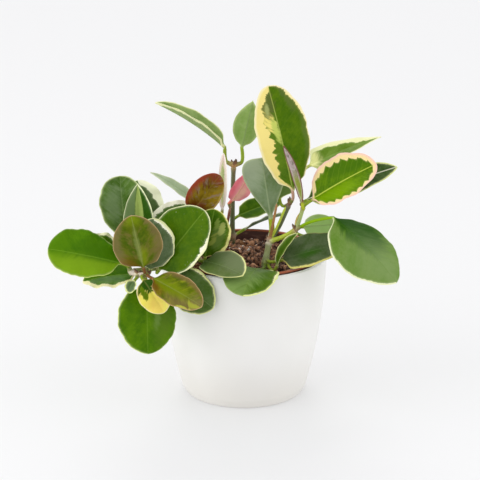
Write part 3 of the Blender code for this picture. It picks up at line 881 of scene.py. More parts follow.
# A blot's middle and half size are shares along and across the blade. Edge softens it, jag runs its edge
# out along the veins, share is its strength, and slant draws its sides on towards the tip.
Blot = namedtuple("Blot", "at size colour edge jag share slant", defaults=(0.2, 0.5, 1.0, 0.0))

# Widths are the margin's in millimetres, on the side where v is negative and on the other. A swell widens
# one side (-1 or 1) about a middle, over a spread, by an extra. A mottle is a noise limit, its softness,
# a colour and its strength. Dulled is how far the underside leaves the upper side's colour.
# Glow is painted light: the leaf gives off a share of its own colour, for light shining through it.
Paint = namedtuple(
    "Paint",
    "deep mid streak streak_share blots margin widths swells lobes rim rim_share rib rib_share under stalk"
    " rough veins specks mottles ragged dulled glow",
    defaults=(
        DEEP, GREEN, GRASS, 0.12, (), CREAM, (0.3, 0.3), (), 0.0, LIME_CREAM, 0.4, RIB_GREEN, 0.3,
        (120, 144, 80), (140, 160, 50), 0.36, 0.03, 0.0, (), 1.0, 0.75, 0.0,
    ),
)
print("a paint has", len(Paint._fields), "fields")


# %% [markdown]
# The layers are functions of one Spot, the set of wires that say where a point is on its leaf.

# %% Layers of a leaf's colour
Spot = namedtuple("Spot", "x y rim above share v far right vein turn cloud streak jag wander dapple")


def leaf_spot(net, seed):
    """Where a point is on its leaf, in millimetres and in shares, and the noises that its colour follows."""
    x, y, rim = net.node("ShaderNodeAttribute", {"attribute_name": "blade"}, out="Vector").parts()
    above, share, v = net.node("ShaderNodeAttribute", {"attribute_name": "region"}, out="Vector").parts()
    far = abs(y)
    vein = x - far * VEIN_SLANT
    turn = seed * SEED_STEP
    return Spot(
        x, y, rim, above, share, v, far, y.ramp(-0.5, 0.5), vein, turn,
        cloud=net.noise(x * 0.07, y * 0.09, turn, detail=5.0, roughness=0.62),
        streak=net.noise(vein * 0.34, y * 0.09, turn + 3.0, detail=3.0),
        jag=net.noise(vein * 0.3, y * 0.07, turn + 5.0, detail=4.0, roughness=0.7),
        wander=net.noise(x * 0.1, y * 0.1, turn + 20.0),
        dapple=net.noise(x * 0.5, y * 0.5, turn + 13.0, detail=4.0, roughness=0.7),
    )


def greens(net, spot, paint):
    """Two greens in clouds, streaks along the side veins, then the mottles and the blots."""
    cloudy = spot.cloud.ramp(0.36, 0.64) * 0.75 + spot.dapple.ramp(0.35, 0.7) * 0.25
    colour = net.mix(cloudy, paint.deep, paint.mid)
    streaky = (spot.streak * 0.7 + spot.dapple * 0.3).ramp(0.45, 0.72)
    colour = net.mix(streaky * paint.streak_share, colour, paint.streak)
    for number, (limit, soft, tint, strength) in enumerate(paint.mottles):
        depth = spot.turn + 31.0 + 7.0 * number
        patch = net.noise(spot.vein * 0.2, spot.y * 0.13, depth, detail=4.0, roughness=0.65)
        colour = net.mix(patch.ramp(limit, limit + soft) * strength, colour, tint)
    for blot in paint.blots:
        ahead = (spot.share - abs(spot.v) * blot.slant - blot.at[0]) / blot.size[0]
        aside = (spot.v - blot.at[1]) / blot.size[1]
        reach = (ahead * ahead + aside * aside).math("SQRT") + (spot.jag - 0.5) * (2.0 * blot.jag)
        mask = 1.0 - reach.ramp(1.0 - blot.edge, 1.0 + blot.edge)
        colour = net.mix(mask * blot.share, colour, blot.colour)
    return colour


def vein_masks(spot):
    """Where the side veins are, a line every few millimetres, and the midrib, which narrows to the tip."""
    line = abs(((spot.vein + spot.wander * 3.0) / PAINTED_VEIN_GAP).fraction() - 0.5)
    ribs = (1.0 - line.ramp(0.02, 0.08)) * spot.far.ramp(0.6, 2.0)
    midrib = 1.0 - (spot.far - (0.55 - 0.35 * spot.share)).ramp(0.0, 0.4)
    return ribs, midrib


def margin_width(net, spot, paint):
    """The margin's width in millimetres: each side's own, with its swells, lobes and sway, and ragged."""
    wide = spot.right * (paint.widths[1] - paint.widths[0]) + paint.widths[0]
    for half, middle, spread, extra in paint.swells:
        near = 1.0 - abs(spot.share - middle).ramp(0.0, spread)
        wide = wide + near * (spot.right if half > 0 else 1.0 - spot.right) * extra
    if paint.lobes:
        wave = abs((spot.x * (math.pi / PAINTED_LOBE_GAP) + spot.wander * 2.0).math("SINE"))
        wide = wide + wave * paint.lobes - 0.4 * paint.lobes
    sway = net.noise(spot.x * 0.17, spot.right, spot.turn + 9.0, detail=1.0)
    torn = (spot.jag - 0.5) * wide.math("MINIMUM", 3.0) * (1.9 * paint.ragged)
    return wide * (0.4 + 1.2 * sway) + torn


def with_margin(net, spot, paint, colour):
    """A halo between green and cream, the cream margin and the thin rim, by the distance from the edge."""
    rim = spot.rim
    wide = margin_width(net, spot, paint)
    halo = 1.0 - (rim - wide).ramp(0.1, 2.0)
    colour = net.mix(halo * 0.3, colour, net.mix(0.5, paint.margin, paint.mid))
    creamy = net.mix(rim.ramp(0.4, 3.2), paint.rim, paint.margin)
    colour = net.mix(1.0 - (rim - wide).ramp(0.0, 0.5), colour, creamy)
    uneven = 0.45 + spot.wander.ramp(0.35, 0.6) * 0.55
    return net.mix((1.0 - rim.ramp(0.2, 0.6)) * uneven * paint.rim_share, colour, paint.rim)


def with_specks(net, spot, paint, colour):
    """Cream specks near the edge: the middles of some of a cell texture's cells."""
    place = net.vector(spot.x, spot.y, spot.turn)
    inputs = {"Scale": SPECK_SCALE, "Vector": place}
    away, random = net.node("ShaderNodeTexVoronoi", {}, inputs, out=["Distance", "Color"])
    near = 1.0 - away.ramp(0.06, 0.18)
    picked = random.parts()[0].above(1.0 - paint.specks)
    return net.mix(near * picked * (1.0 - spot.rim.ramp(3.0, 12.0)) * 0.7, colour, PALE_CREAM)


def leaf_finish(name, paint, seed):
    """The leaf's layers of colour, and its wax: soft shine, and a relief of veins and fine grain."""
    made, shader, net = new_finish(name)
    spot = leaf_spot(net, seed)
    ribs, midrib = vein_masks(spot)
    colour = net.mix(ribs * paint.veins, greens(net, spot, paint), paint.rib)
    colour = net.mix(midrib * paint.rib_share, colour, paint.rib)
    dull = net.mix(paint.dulled, colour, paint.under)
    colour = net.mix(spot.above, net.mix(midrib * 0.6, dull, paint.rib), colour)
    colour = with_margin(net, spot, paint, colour)
    if paint.specks:
        colour = with_specks(net, spot, paint, colour)
    colour = net.mix(spot.share.ramp(0.05, -0.02), colour, paint.stalk)
    feed(shader, "Base Color", colour)
    # Painted light: a thin or young leaf gives off its own colour, as if light shone through it.
    if paint.glow:
        feed(shader, "Emission Color", colour)
        shader.inputs["Emission Strength"].default_value = paint.glow
    feed(shader, "Roughness", paint.rough + spot.cloud * 0.12 + (1.0 - spot.above) * 0.18)

    grain = net.noise(spot.x * 3.0, spot.y * 3.0, spot.turn, detail=2.0)
    groove = 1.0 - midrib * min(2.0 * paint.rib_share, 0.8)
    relief = groove - ribs * 0.15 + grain * 0.12 + spot.streak * 0.15
    feed(shader, "Normal", bump(net, relief, 0.35, strength=0.6))
    shader.inputs["Specular IOR Level"].default_value = WAX_SHINE
    return made


print("leaf paint ready")


# %% [markdown]
# ## The leaves, one by one
#
# Each call places a leaf and shapes it, and says how its paint differs from its family's. The plain
# family is the grown, glossy, green leaf, the grey one shows the white layer over the green with
# painted sheen of the wax on it, and the young one is bronze. A blot is placed by its share of the way
# along the blade and across it, where across runs from -1 at one edge to 1 at the other.

# %% Leaf families
PLAIN = Paint()
# The grey family's greys are partly painted sheen, the shine of the wax on a leaf that faces the light.
GREY = Paint(
    deep=DUSTY, mid=GLAUCOUS, streak=SAGE, streak_share=0.15, widths=(0.5, 0.5), rough=0.46, veins=0.02,
    rib_share=0.25, under=(118, 140, 104), rib=(136, 158, 100),
)
YOUNG = Paint(
    deep=OLIVE, mid=(102, 108, 8), streak=(134, 132, 60), streak_share=0.4, margin=TAN_PINK,
    widths=(0.25, 0.25), rim=TAN_PINK, rib=(150, 158, 84), rib_share=0.35, stalk=(124, 84, 50), veins=0.02,
)
LEAVES = {}


def add_leaf(name, family, row, **changes):
    """Keeps a leaf's row and its paint: its family's, with this leaf's own changes."""
    LEAVES[name] = (row, family._replace(**changes))


print("leaf families: plain, grey and young")


# %% [markdown]
# The left spray trails over the rim: two young leaves at its tip, a folded grey one behind them, big
# cream-edged leaves above and beside it, and a small cream one below.

# %% The left spray
add_leaf(
    "leaf_left_young_upper", YOUNG,
    Leaf("left_tip", (-82, -66, 130), (-91, -72, 176), (0.1, -3, 1), 41, teeth=0.12),
    deep=(64, 88, 0), mid=(94, 106, 6), streak=(112, 122, 30),
    mottles=((0.46, 0.2, (118, 106, 52), 0.65), (0.55, 0.12, (78, 92, 0), 0.7)), rim=(190, 160, 118),
    widths=(0.1, 0.1),
    blots=(
        Blot((0.5, 1.0), (0.7, 0.32), (118, 102, 62), 0.5, 1.0, 0.75),
        Blot((0.55, -0.95), (0.6, 0.28), (122, 110, 66), 0.5, 1.0, 0.75),
        Blot((0.98, 0.0), (0.14, 0.6), (118, 140, 10), 0.6, 0.6, 0.8),
        Blot((0.1, -0.8), (0.2, 0.5), (116, 78, 20), 0.5, 0.5, 0.6),
        Blot((0.2, 0.15), (0.2, 0.2), (124, 140, 10), 0.6, 0.8, 0.7),
        Blot((0.42, -0.02), (0.36, 0.1), (134, 146, 80), 0.6, 0.8, 0.6),
    ),
)
add_leaf(
    "leaf_left_young_lower", YOUNG,
    Leaf("left_tip", (-74.2, -71.8, 122.6), (-34, -95, 106.5), (0, -2, 1.8), 28, teeth=0.15),
    deep=(70, 90, 0), mid=(100, 112, 0), streak=(158, 164, 34), streak_share=0.45,
    mottles=((0.52, 0.16, (124, 106, 58), 0.6), (0.55, 0.1, (150, 158, 20), 0.6)), rim=(200, 164, 122),
    rib_share=0.25, widths=(0.1, 0.1),
    blots=(
        Blot((0.8, 0.7), (0.38, 0.7), (126, 104, 64), 0.6, 1.0, 0.65),
        Blot((0.98, 0.1), (0.2, 0.8), (134, 122, 72), 0.5, 0.9, 0.6),
        Blot((0.6, -1.0), (0.5, 0.3), (122, 96, 60), 0.5, 0.9, 0.7),
        Blot((0.05, 0.6), (0.25, 0.5), (116, 66, 16), 0.5, 0.5, 0.7),
        Blot((0.32, 0.0), (0.4, 0.4), (118, 136, 0), 0.6, 0.9, 0.75),
        Blot((0.74, 0.5), (0.12, 0.3), (176, 186, 50), 0.5, 1.2, 0.6, 0.3),
        Blot((0.76, 0.95), (0.12, 0.14), (196, 204, 70), 0.4, 0.9, 0.8),
    ),
)
add_leaf(
    "leaf_left_grey", GREY, Leaf("left_second", (-77, -53, 124), (-74, -46, 166), (0.6, -3, 1), 37),
    deep=(76, 96, 54), mid=(100, 116, 84), widths=(0.4, 0.7), swells=((1, 0.85, 0.4, 2.6),),
    margin=PALE_CREAM, rim=(226, 228, 170),
)
add_leaf(
    "leaf_left_big_upper", PLAIN,
    Leaf("left_inner", (-70, -48, 122), (-32, -44, 172), (-1.2, -2.4, 1), 52, teeth=0.2),
    widths=(0.35, 0.5), swells=((1, 0.62, 0.2, 3.6), (1, 0.4, 0.16, 1.8)), specks=0.3, margin=PALE_CREAM,
    rim=(238, 240, 190), deep=(60, 98, 0), mid=(82, 114, 2),
)
add_leaf(
    "leaf_left_big_outer", PLAIN,
    Leaf("left_outer", (-101, -52, 129), (-160, -60, 144), (0, -2.5, 2), 42, widest=0.58, teeth=0.35),
    deep=(62, 110, 0), mid=(84, 130, 0), widths=(0.2, -0.6), rim=(206, 222, 120), rib=(132, 176, 50),
    # The first blot, a lighter yellow-green over one half, is painted sheen.
    blots=(
        Blot((0.5, -0.6), (0.66, 0.54), (128, 166, 24), 0.5, 0.5, 0.8),
        Blot((0.92, 0.3), (0.2, 0.7), (84, 130, 0), 0.6, 0.5, 0.7),
        Blot((0.3, 0.3), (0.3, 0.4), (64, 110, 0), 0.5, 0.5, 0.8),
    ),
)
add_leaf(
    "leaf_left_under_outer", PLAIN,
    Leaf("left_outer", (-90, -38, 114.8), (-134, -41, 109), (0, -1, 3), 42, teeth=0.45, widest=0.42),
    widths=(4.4, 0.4), margin=(252, 242, 186), rim=(254, 246, 200), deep=(60, 108, 0), mid=(88, 132, 4),
)
add_leaf(
    "leaf_left_hanging", PLAIN,
    Leaf(
        "left_second", (-80, -58, 113.5), (-79, -74, 58), (0, -3, 1), 49, teeth=0.35, widest=0.48,
        point=1.2,
    ),
    deep=(62, 104, 0), mid=(86, 126, 0), widths=(-0.6, 0.4), rim=(214, 228, 140), rib_share=0.15,
    # Both blots are painted sheen: grey-green over one half, with a lighter spot in it.
    blots=(
        Blot((0.45, -0.6), (0.4, 0.35), (80, 108, 26), 0.6, 0.8, 0.7),
        Blot((0.5, -0.35), (0.12, 0.1), (112, 140, 70), 0.6, 0.9, 0.5),
    ),
)
add_leaf(
    "leaf_left_cream", PLAIN,
    Leaf("left_tip", (-82.5, -66, 119.5), (-65, -80, 96), (0.8, -3, 1), 27, teeth=0.08),
    deep=(243, 230, 94), mid=(251, 241, 122), streak=(252, 214, 116), streak_share=0.5, margin=YELLOW,
    rim=(246, 232, 170), rib=(246, 226, 140), rib_share=0.1, widths=(0.5, 0.5), under=(226, 206, 130),
    blots=(
        Blot((0.8, 0.3), (0.24, 0.5), (246, 212, 104), 0.6, 0.6, 0.7),
        Blot((0.0, 0.0), (0.36, 1.6), (44, 84, 4), 0.14, 0.7),
        Blot((0.34, 0.5), (0.18, 0.2), (96, 124, 6), 0.2, 0.9),
    ),
)
add_leaf(
    "leaf_left_folded", GREY,
    Leaf("left_second", (-90, -63, 117.5), (-94, -67, 108.5), (-1, -2.5, 0.5), 10.5, fold=25.0),
    widths=(0.5, 0.9),
)
add_leaf(
    "leaf_left_low_inner", GREY,
    Leaf("left_inner", (-60, -48, 120), (-25, -70, 96.5), (-0.8, -2, 0.8), 36, teeth=0.35),
    deep=(66, 94, 28), mid=(90, 112, 62), widths=(1.0, 0.5), swells=((-1, 0.45, 0.25, 1.0),),
    rim=(208, 214, 140), streak=(112, 130, 84),
)
add_leaf(
    "leaf_left_rear_upper", GREY,
    Leaf(
        "rear_left_top", (-98.5, -22, 141), (-103.5, -8, 191.5), (-0.3, -3, 1), 38, widest=0.58,
        teeth=0.25,
    ),
    deep=(62, 94, 22), mid=(92, 122, 52), rim=(196, 210, 150), streak_share=0.5,
    blots=(Blot((0.55, -0.4), (0.25, 0.35), (116, 136, 96), 0.6, 0.9, 0.6),),
)
add_leaf(
    "leaf_left_rear_inner", GREY,
    Leaf("rear_left_top", (-82, -14, 143), (-89.5, 4, 184.5), (0.4, -3, 1), 37),
    deep=(76, 100, 48), mid=(100, 122, 78), widths=(0.4, 4.4), swells=((1, 0.75, 0.3, 1.6),), ragged=0.4,
    margin=(246, 248, 216), rim=(246, 248, 216), glow=0.05,
)
add_leaf(
    "leaf_left_upright", PLAIN,
    Leaf(
        "rear_left_top", (-86, -30, 136), (-88, -23, 189), (0, -3, 0.3), 31, fold=35.0, widest=0.42,
        teeth=0.1, point=1.6,
    ),
    widths=(0.3, 0.9), rim=(232, 236, 190), margin=PALE_CREAM, rib_share=0.1,
    blots=(
        Blot((0.5, -0.7), (1.2, 0.46), (112, 136, 84), 0.2, 0.3),
        Blot((0.45, 0.05), (0.8, 0.3), (170, 190, 104), 0.2, 0.2),
        Blot((0.5, 0.66), (1.0, 0.34), (44, 86, 0), 0.2, 0.2),
    ),
)
add_leaf(
    "leaf_left_rear_low", PLAIN,
    Leaf("rear_left_top", (-105, -30, 132), (-129, -32, 142), (0, -2, 2), 22),
    widths=(0.3, 2.4), ragged=0.5, margin=(244, 242, 196), rim=(244, 244, 204),
)
add_leaf(
    "leaf_left_back", PLAIN, Leaf("rear_left_rise", (-76, 6, 138), (-104, 42, 148), (0, 1, 3), 40),
    swells=((1, 0.6, 0.3, 4.0),),
)
print("leaf rows:", len(LEAVES))


# %% [markdown]
# The middle stem carries one dark, upright leaf, a grey oval one, a young red-brown one, and paler
# leaves behind them.

# %% The middle stem's leaves
add_leaf(
    "leaf_middle_upright", PLAIN,
    Leaf("middle_low", (-32.3, -40.5, 130.5), (-24.5, -36, 171), (0.2, -3, 1), 35, teeth=0.35),
    widths=(0.3, 1.3), swells=((-1, 0.9, 0.2, -0.4), (1, 0.95, 0.25, -1.0), (1, 0.35, 0.3, 0.8)),
    margin=(238, 226, 130), rim=(236, 232, 150), deep=(52, 92, 0), mid=(78, 110, 0),
    blots=(
        Blot((0.5, 0.45), (0.26, 0.3), (106, 130, 58), 0.5, 1.4, 0.8),
        Blot((0.42, 0.55), (0.1, 0.16), (170, 178, 96), 0.3, 1.6, 0.8, 0.4),
        Blot((0.62, 0.3), (0.1, 0.14), (128, 150, 62), 0.3, 1.6, 0.8, 0.4),
        Blot((0.3, 0.2), (0.1, 0.16), (150, 160, 70), 0.3, 1.6, 0.8, 0.4),
    ),
)
add_leaf(
    "leaf_middle_grey", GREY,
    Leaf(
        "middle_low", (-33, -48, 129.5), (-1, -82, 128.5), (0, -1, 1.6), 32, fold=15.0, wave=0.35,
        teeth=0.06, point=1.0,
    ),
    deep=(80, 104, 42), mid=(102, 118, 66), widths=(0.3, 0.3), rim=(222, 224, 150), rim_share=0.6,
    swells=((-1, 0.9, 0.3, 0.8),),
    # The first blot, grey over one half, is painted sheen.
    blots=(
        Blot((0.6, -0.75), (0.7, 0.85), (112, 124, 88), 0.6, 0.8, 0.8),
        Blot((0.15, 0.2), (0.26, 0.9), (66, 102, 14), 0.6, 0.8, 0.4),
    ),
)
add_leaf(
    "leaf_middle_red", YOUNG,
    Leaf(
        "middle_top", (-44, -28, 165), (-20, -26, 197), (0, -3, 1), 27, wave=0.4, widest=0.48, teeth=0.1,
        point=1.0,
    ),
    deep=(92, 72, 0), mid=(130, 106, 8), streak=(120, 108, 44),
    mottles=((0.48, 0.14, (128, 108, 92), 0.75), (0.55, 0.1, (86, 46, 10), 0.8)), rim=(160, 66, 56),
    margin=(150, 50, 46), widths=(0.2, -0.6), rib=(140, 126, 40), rib_share=0.2,
    blots=(
        Blot((0.6, -1.1), (0.9, 0.45), (140, 48, 34), 0.5, 0.7, 0.9),
        Blot((1.0, -0.2), (0.2, 1.0), (120, 46, 30), 0.5, 0.7, 0.8),
        Blot((0.08, 0.3), (0.26, 0.9), (100, 42, 14), 0.4, 0.6, 0.9),
        Blot((0.6, 1.05), (0.4, 0.16), (186, 170, 90), 0.4, 0.5, 0.6),
    ),
)
add_leaf(
    "leaf_middle_cream", GREY,
    Leaf("middle_top", (-44, -15, 168), (-77, -24, 158), (0, -3, 1), 18, teeth=0.1),
    widths=(3.4, 3.2), margin=PALE_CREAM, rim=PALE_CREAM, deep=(70, 100, 30), mid=(92, 120, 60),
    glow=0.12,
)
add_leaf(
    "leaf_middle_pale", GREY,
    Leaf("middle_top", (-42, 3, 166), (-79, 12, 189), (0, -1, 3), 13, wave=0.4, widest=0.3, teeth=0.05),
    deep=(158, 176, 140), mid=(178, 194, 160), under=(176, 192, 156), widths=(0.4, 0.4),
    rim=(206, 214, 180),
)
add_leaf(
    "leaf_middle_edge_on", PLAIN,
    Leaf(
        "middle_top", (-18.5, 8, 157), (-17.5, 12, 206), (0, -3, 0), 15, wave=0.3, fold=60.0, teeth=0.05,
    ),
    margin=(240, 224, 218), rim=(246, 236, 230), deep=(196, 208, 150), mid=(212, 222, 176),
    widths=(3.0, 5.0), under=(222, 208, 200), stalk=(150, 150, 80), glow=0.12, rib=CREAM,
)
add_leaf(
    "leaf_middle_back", PLAIN, Leaf("middle_top", (-46, 8, 142), (-52, 50, 138), (0, 1, 3), 36),
    swells=((-1, 0.5, 0.3, 5.0),),
)
print("leaf rows:", len(LEAVES))


# %% [markdown]
# The back stem rises highest, and ends in two leaves. Two dark ones hang low at its foot, and the thin
# stem beside it bears a pink one.

# %% The back stems' leaves
add_leaf(
    "leaf_back_top_left", GREY,
    Leaf(
        "back_top", (-16.5, 48, 201.5), (-76, 52, 240), (0.5, -0.6, 3), 22, arch=3.0, fold=50.0, wave=0.4,
        widest=0.4, petiole=1.55, bend=(-17, 46, 190), teeth=0.06,
    ),
    deep=(118, 146, 74), mid=(150, 172, 106), rib_share=0.0, widths=(2.5, 0.6), ragged=0.5,
    rim=(236, 238, 186), margin=(238, 240, 188), under=(152, 172, 116), stalk=(146, 162, 56),
)
add_leaf(
    "leaf_back_top_right", GREY,
    Leaf(
        "back_top", (-2, 45, 202), (7.5, 46, 243), (0.3, 3, 1), 24, bend=(0, 46, 189), petiole=1.5,
        wave=0.5, teeth=0.1, point=1.9, widest=0.44,
    ),
    deep=(102, 144, 44), mid=(148, 172, 106), under=(154, 180, 106), stalk=(150, 176, 60), dulled=0.45,
    rim=(176, 198, 124), rib_share=0.15,
)
add_leaf(
    "leaf_back_low_right", PLAIN,
    Leaf(
        "back_low", (-5, 56, 137.5), (33, 70, 147), (0, -2, 3), 22, wave=0.5, widest=0.42, teeth=0.1,
        point=0.95,
    ),
    stalk=(136, 162, 52), widths=(0.25, 0.25), deep=(48, 86, 0), mid=(76, 110, 4),
)
add_leaf(
    "leaf_back_low_under", GREY,
    Leaf("back_low", (0, 57.4, 124.8), (37, 73, 134), (0, 1.6, 3), 24, wave=0.5, fold=5.0, teeth=0.1),
    deep=(52, 76, 30), mid=(76, 100, 50), widths=(0.2, 1.5), ragged=0.3, margin=(200, 208, 168),
    rim=(212, 220, 184), rim_share=0.9,
)
add_leaf(
    "leaf_back_pink", PLAIN,
    Leaf("thin_top", (-11, 36.5, 157), (3, 34, 182), (1.5, -2, 0.5), 21, wave=0.3, teeth=0.04),
    # Painted light: the very bright pinks and the glow stand for light shining through the young leaf.
    deep=(255, 160, 170), mid=(255, 170, 174), streak=(255, 190, 180), streak_share=0.3,
    margin=(255, 160, 176), rim=(246, 130, 148), rib=(255, 216, 170), rib_share=0.5,
    under=(255, 166, 172), stalk=(226, 132, 108), glow=0.08,
    blots=(
        Blot((0.6, -0.9), (0.8, 0.5), (250, 116, 138), 0.5, 0.3, 0.8),
        Blot((0.3, 0.3), (0.3, 0.3), (255, 206, 182), 0.5, 0.5, 0.7),
    ),
)
print("leaf rows:", len(LEAVES))


# %% [markdown]
# The right stem's branches carry the half-yellow leaf, the pink-edged one, the rolled young one and the
# long one seen from its edge. Under them a big leaf droops over the rim among pale and grey ones.

# %% The right stem's leaves
add_leaf(
    "leaf_right_grey", GREY,
    Leaf(
        "right_fork", (22.5, -12, 154.5), (14.5, -4, 206), (0, 3, -0.5), 37, wave=0.5, widest=0.78,
        teeth=0.1, point=1.5, petiole=2.3,
    ),
    under=(124, 144, 104), deep=(100, 126, 78), mid=(132, 150, 116), widths=(0.3, 0.3), dulled=0.3,
    stalk=(170, 186, 50), rib=(158, 174, 136), rim=(176, 192, 150), streak=(150, 164, 140),
    # The blot, a pale grey patch near the tip, is a painted highlight.
    streak_share=0.3, blots=(Blot((0.85, 0.6), (0.3, 0.6), (172, 182, 160), 0.6, 0.9, 0.8),),
)
add_leaf(
    "leaf_right_half_yellow", PLAIN,
    Leaf(
        "right_rear_top", (40, -18.5, 181.5), (19, -12, 269), (1.2, -2.4, 0.5), 49, teeth=0.25,
        widest=0.55,
    ),
    deep=(62, 100, 0), mid=(88, 120, 4), margin=(241, 222, 134), rim=(247, 236, 186), widths=(7.0, 0.5),
    ragged=1.6, swells=((-1, 0.5, 0.34, 7.5), (-1, 0.0, 0.3, -4.5), (1, 0.8, 0.25, 1.6)),
    stalk=(190, 152, 132), rib=(190, 202, 100), rib_share=0.5,
    blots=(
        Blot((0.45, -0.3), (0.3, 0.3), (96, 128, 20), 0.5, 0.8, 0.6),
        Blot((0.6, -0.45), (0.12, 0.36), (236, 220, 120), 0.16, 0.9, 1.0, 0.35),
        Blot((0.54, -0.14), (0.1, 0.14), (190, 204, 96), 0.4, 1.0, 0.9, 0.35),
        Blot((0.86, -0.3), (0.14, 0.36), (88, 100, 40), 0.3, 1.0, 0.9),
        Blot((0.8, -0.36), (0.06, 0.1), (170, 180, 110), 0.5, 1.2, 0.7),
        Blot((0.85, 0.75), (0.14, 0.2), (88, 104, 48), 0.5, 0.9, 0.7),
        Blot((0.5, 0.9), (0.3, 0.12), (96, 116, 50), 0.5, 0.9, 0.6),
    ),
)
add_leaf(
    "leaf_right_drooping", PLAIN,
    Leaf(
        "right_elbow", (72.5, -45.5, 166.5), (122.5, -83, 122.5), (0.6, -1.4, 2.5), 58, fold=-12.0,
        wave=0.6, bend=(55, -34, 161), teeth=0.2, point=1.45, arch=3.5,
    ),
    # Painted sheen: the greyish greens and the light grey-green blot near the tip stand for the shine on the
    # half that faces the light; the two dark blots are the leaf's own deep green.
    deep=(92, 130, 38), mid=(114, 142, 66), streak=(134, 158, 92), widths=(-1.0, 0.9), ragged=1.2,
    margin=(246, 246, 206), rim=(236, 240, 196), rim_share=0.3, rib=(84, 126, 24), rib_share=0.15,
    stalk=(140, 180, 20), veins=0.02,
    blots=(
        Blot((0.2, -0.42), (0.44, 0.64), (36, 82, 0), 0.3),
        Blot((0.42, -0.06), (0.24, 0.2), (40, 88, 0), 0.4, 0.6, 0.95),
        Blot((0.8, 0.0), (0.4, 0.8), (132, 154, 98), 0.8, 0.5, 0.6),
    ),
)
add_leaf(
    "leaf_right_folded", PLAIN,
    Leaf(
        "right_foot", (27, -44.5, 124.5), (44, -43, 152), (-2, -1.2, 1), 12.5, wave=0.4, fold=35.0,
        teeth=0.05,
    ),
    deep=(58, 92, 0), mid=(80, 112, 6), widths=(0.6, 0.3), rim=(216, 220, 150),
    blots=(Blot((0.5, 0.75), (0.8, 0.3), (136, 160, 60), 0.3, 0.3, 0.8),),
)
add_leaf(
    "leaf_right_pale_under", GREY,
    Leaf("right_elbow", (49, -18.7, 150.2), (76, -17, 152), (0, 3, -1), 20, wave=0.3, teeth=0.05),
    under=(172, 208, 124), widths=(0.2, 0.2), rim=(196, 216, 150), glow=0.08,
)
add_leaf(
    "leaf_right_on_rim", GREY,
    Leaf(
        "right_foot", (31, -41, 128.5), (88, -46, 145), (0, -1, 1.2), 32, wave=0.5, teeth=0.12,
        widest=0.38,
    ),
    deep=(64, 86, 40), mid=(94, 108, 76), streak=(112, 126, 100), widths=(-0.8, 1.8), rim=(222, 214, 120),
    margin=(238, 228, 150), rib_share=0.1,
    blots=(Blot((0.4, 0.1), (0.16, 0.22), (44, 90, 0), 0.8, 0.8, 0.8),),
)
add_leaf(
    "leaf_right_pink_edge", PLAIN,
    Leaf("right_top", (55.5, -36, 178.5), (108, -36, 209), (0, -2, 2.6), 45, fold=18.0, teeth=0.25),
    deep=(66, 108, 0), mid=(102, 140, 0), streak=(136, 166, 14), margin=(246, 224, 160),
    rim=(247, 206, 186), widths=(4.0, 2.4), swells=((-1, 0.6, 0.3, 0.8), (1, 0.95, 0.15, 1.2)), lobes=2.2,
    ragged=0.4, rib=(206, 222, 90), rib_share=0.75, veins=0.06,
    blots=(
        Blot((0.65, -0.5), (0.35, 0.35), (66, 108, 0), 0.4, 0.6, 0.8),
        Blot((0.35, 0.4), (0.3, 0.35), (124, 164, 6), 0.5, 0.6, 0.7),
    ),
)
add_leaf(
    "leaf_right_rolled", YOUNG,
    Leaf(
        "right_top", (47.5, -40.6, 177), (32, -39, 225), (-2, -2, 0), 10, wave=0.2, teeth=0.04, arch=-3.5,
    ),
    deep=(150, 134, 130), mid=(178, 164, 162), streak=(212, 202, 204), streak_share=0.6,
    mottles=((0.52, 0.1, (104, 90, 80), 0.8),),
    blots=(Blot((0.1, 0.0), (0.4, 1.2), (132, 146, 36), 0.4, 0.5, 0.9),), rim=(116, 78, 66),
    rim_share=1.0, margin=(240, 234, 226), widths=(1.3, 0.9), ragged=0.4, stalk=(172, 182, 50),
    rib_share=0.0, under=(176, 160, 150),
)
add_leaf(
    "leaf_right_edge_on", PLAIN,
    Leaf("right_top", (54, -8, 200), (114, 0, 223), (0, -1.3, 3), 29, wave=0.3, widest=0.16, teeth=0.06),
    deep=(90, 124, 26), mid=(118, 148, 58), widths=(4.4, 0.5), ragged=0.4, rib_share=0.1,
    blots=(Blot((0.0, -0.4), (0.16, 1.4), (236, 236, 160), 0.4, 0.4),), rim=(242, 242, 196),
    margin=(240, 242, 184), stalk=(206, 214, 120),
)
add_leaf(
    "leaf_right_behind_pink", GREY,
    Leaf(
        "right_top", (52, -14, 172), (127, -12, 200), (0, -2, 2.6), 30, wave=0.5, widest=0.42, teeth=0.12,
    ),
    deep=(48, 76, 26), mid=(76, 100, 50), rib=PALE_CREAM, rib_share=0.8, widths=(0.9, 0.9),
)
add_leaf(
    "leaf_right_back", PLAIN, Leaf("right_rear_top", (30, 2, 168), (24, 24, 204), (0, 2, 1), 36),
    swells=((1, 0.5, 0.25, 4.0),),
)
add_leaf(
    "leaf_right_back_low", PLAIN, Leaf("right_elbow", (58, 4, 134), (102, 24, 114), (0, 1, 3), 38),
    swells=((-1, 0.4, 0.3, 5.0),),
)
add_leaf(
    "leaf_front_over_rim", PLAIN,
    Leaf(
        "right_foot", (13, -50, 123), (-1, -88, 113), (-0.3, -1.2, 2.4), 46, arch=7.5, teeth=0.4,
        widest=0.54, point=1.0, fold=5.0,
    ),
    deep=(60, 96, 2), mid=(84, 114, 20), streak=(56, 92, 0), streak_share=0.4, widths=(1.0, -0.6),
    swells=((-1, 0.5, 0.25, 1.4),), rib_share=0.15, stalk=(96, 116, 40),
    # The two lighter grey-green blots are painted sheen.
    blots=(
        Blot((0.6, 0.5), (0.55, 0.7), (134, 162, 90), 0.7, 0.8, 0.85),
        Blot((0.2, -0.3), (0.16, 0.3), (124, 142, 100), 0.5, 0.9, 0.6),
        Blot((0.2, 0.0), (0.2, 0.8), (64, 98, 6), 0.6, 0.8, 0.7),
    ),
)
print("leaf rows:", len(LEAVES))


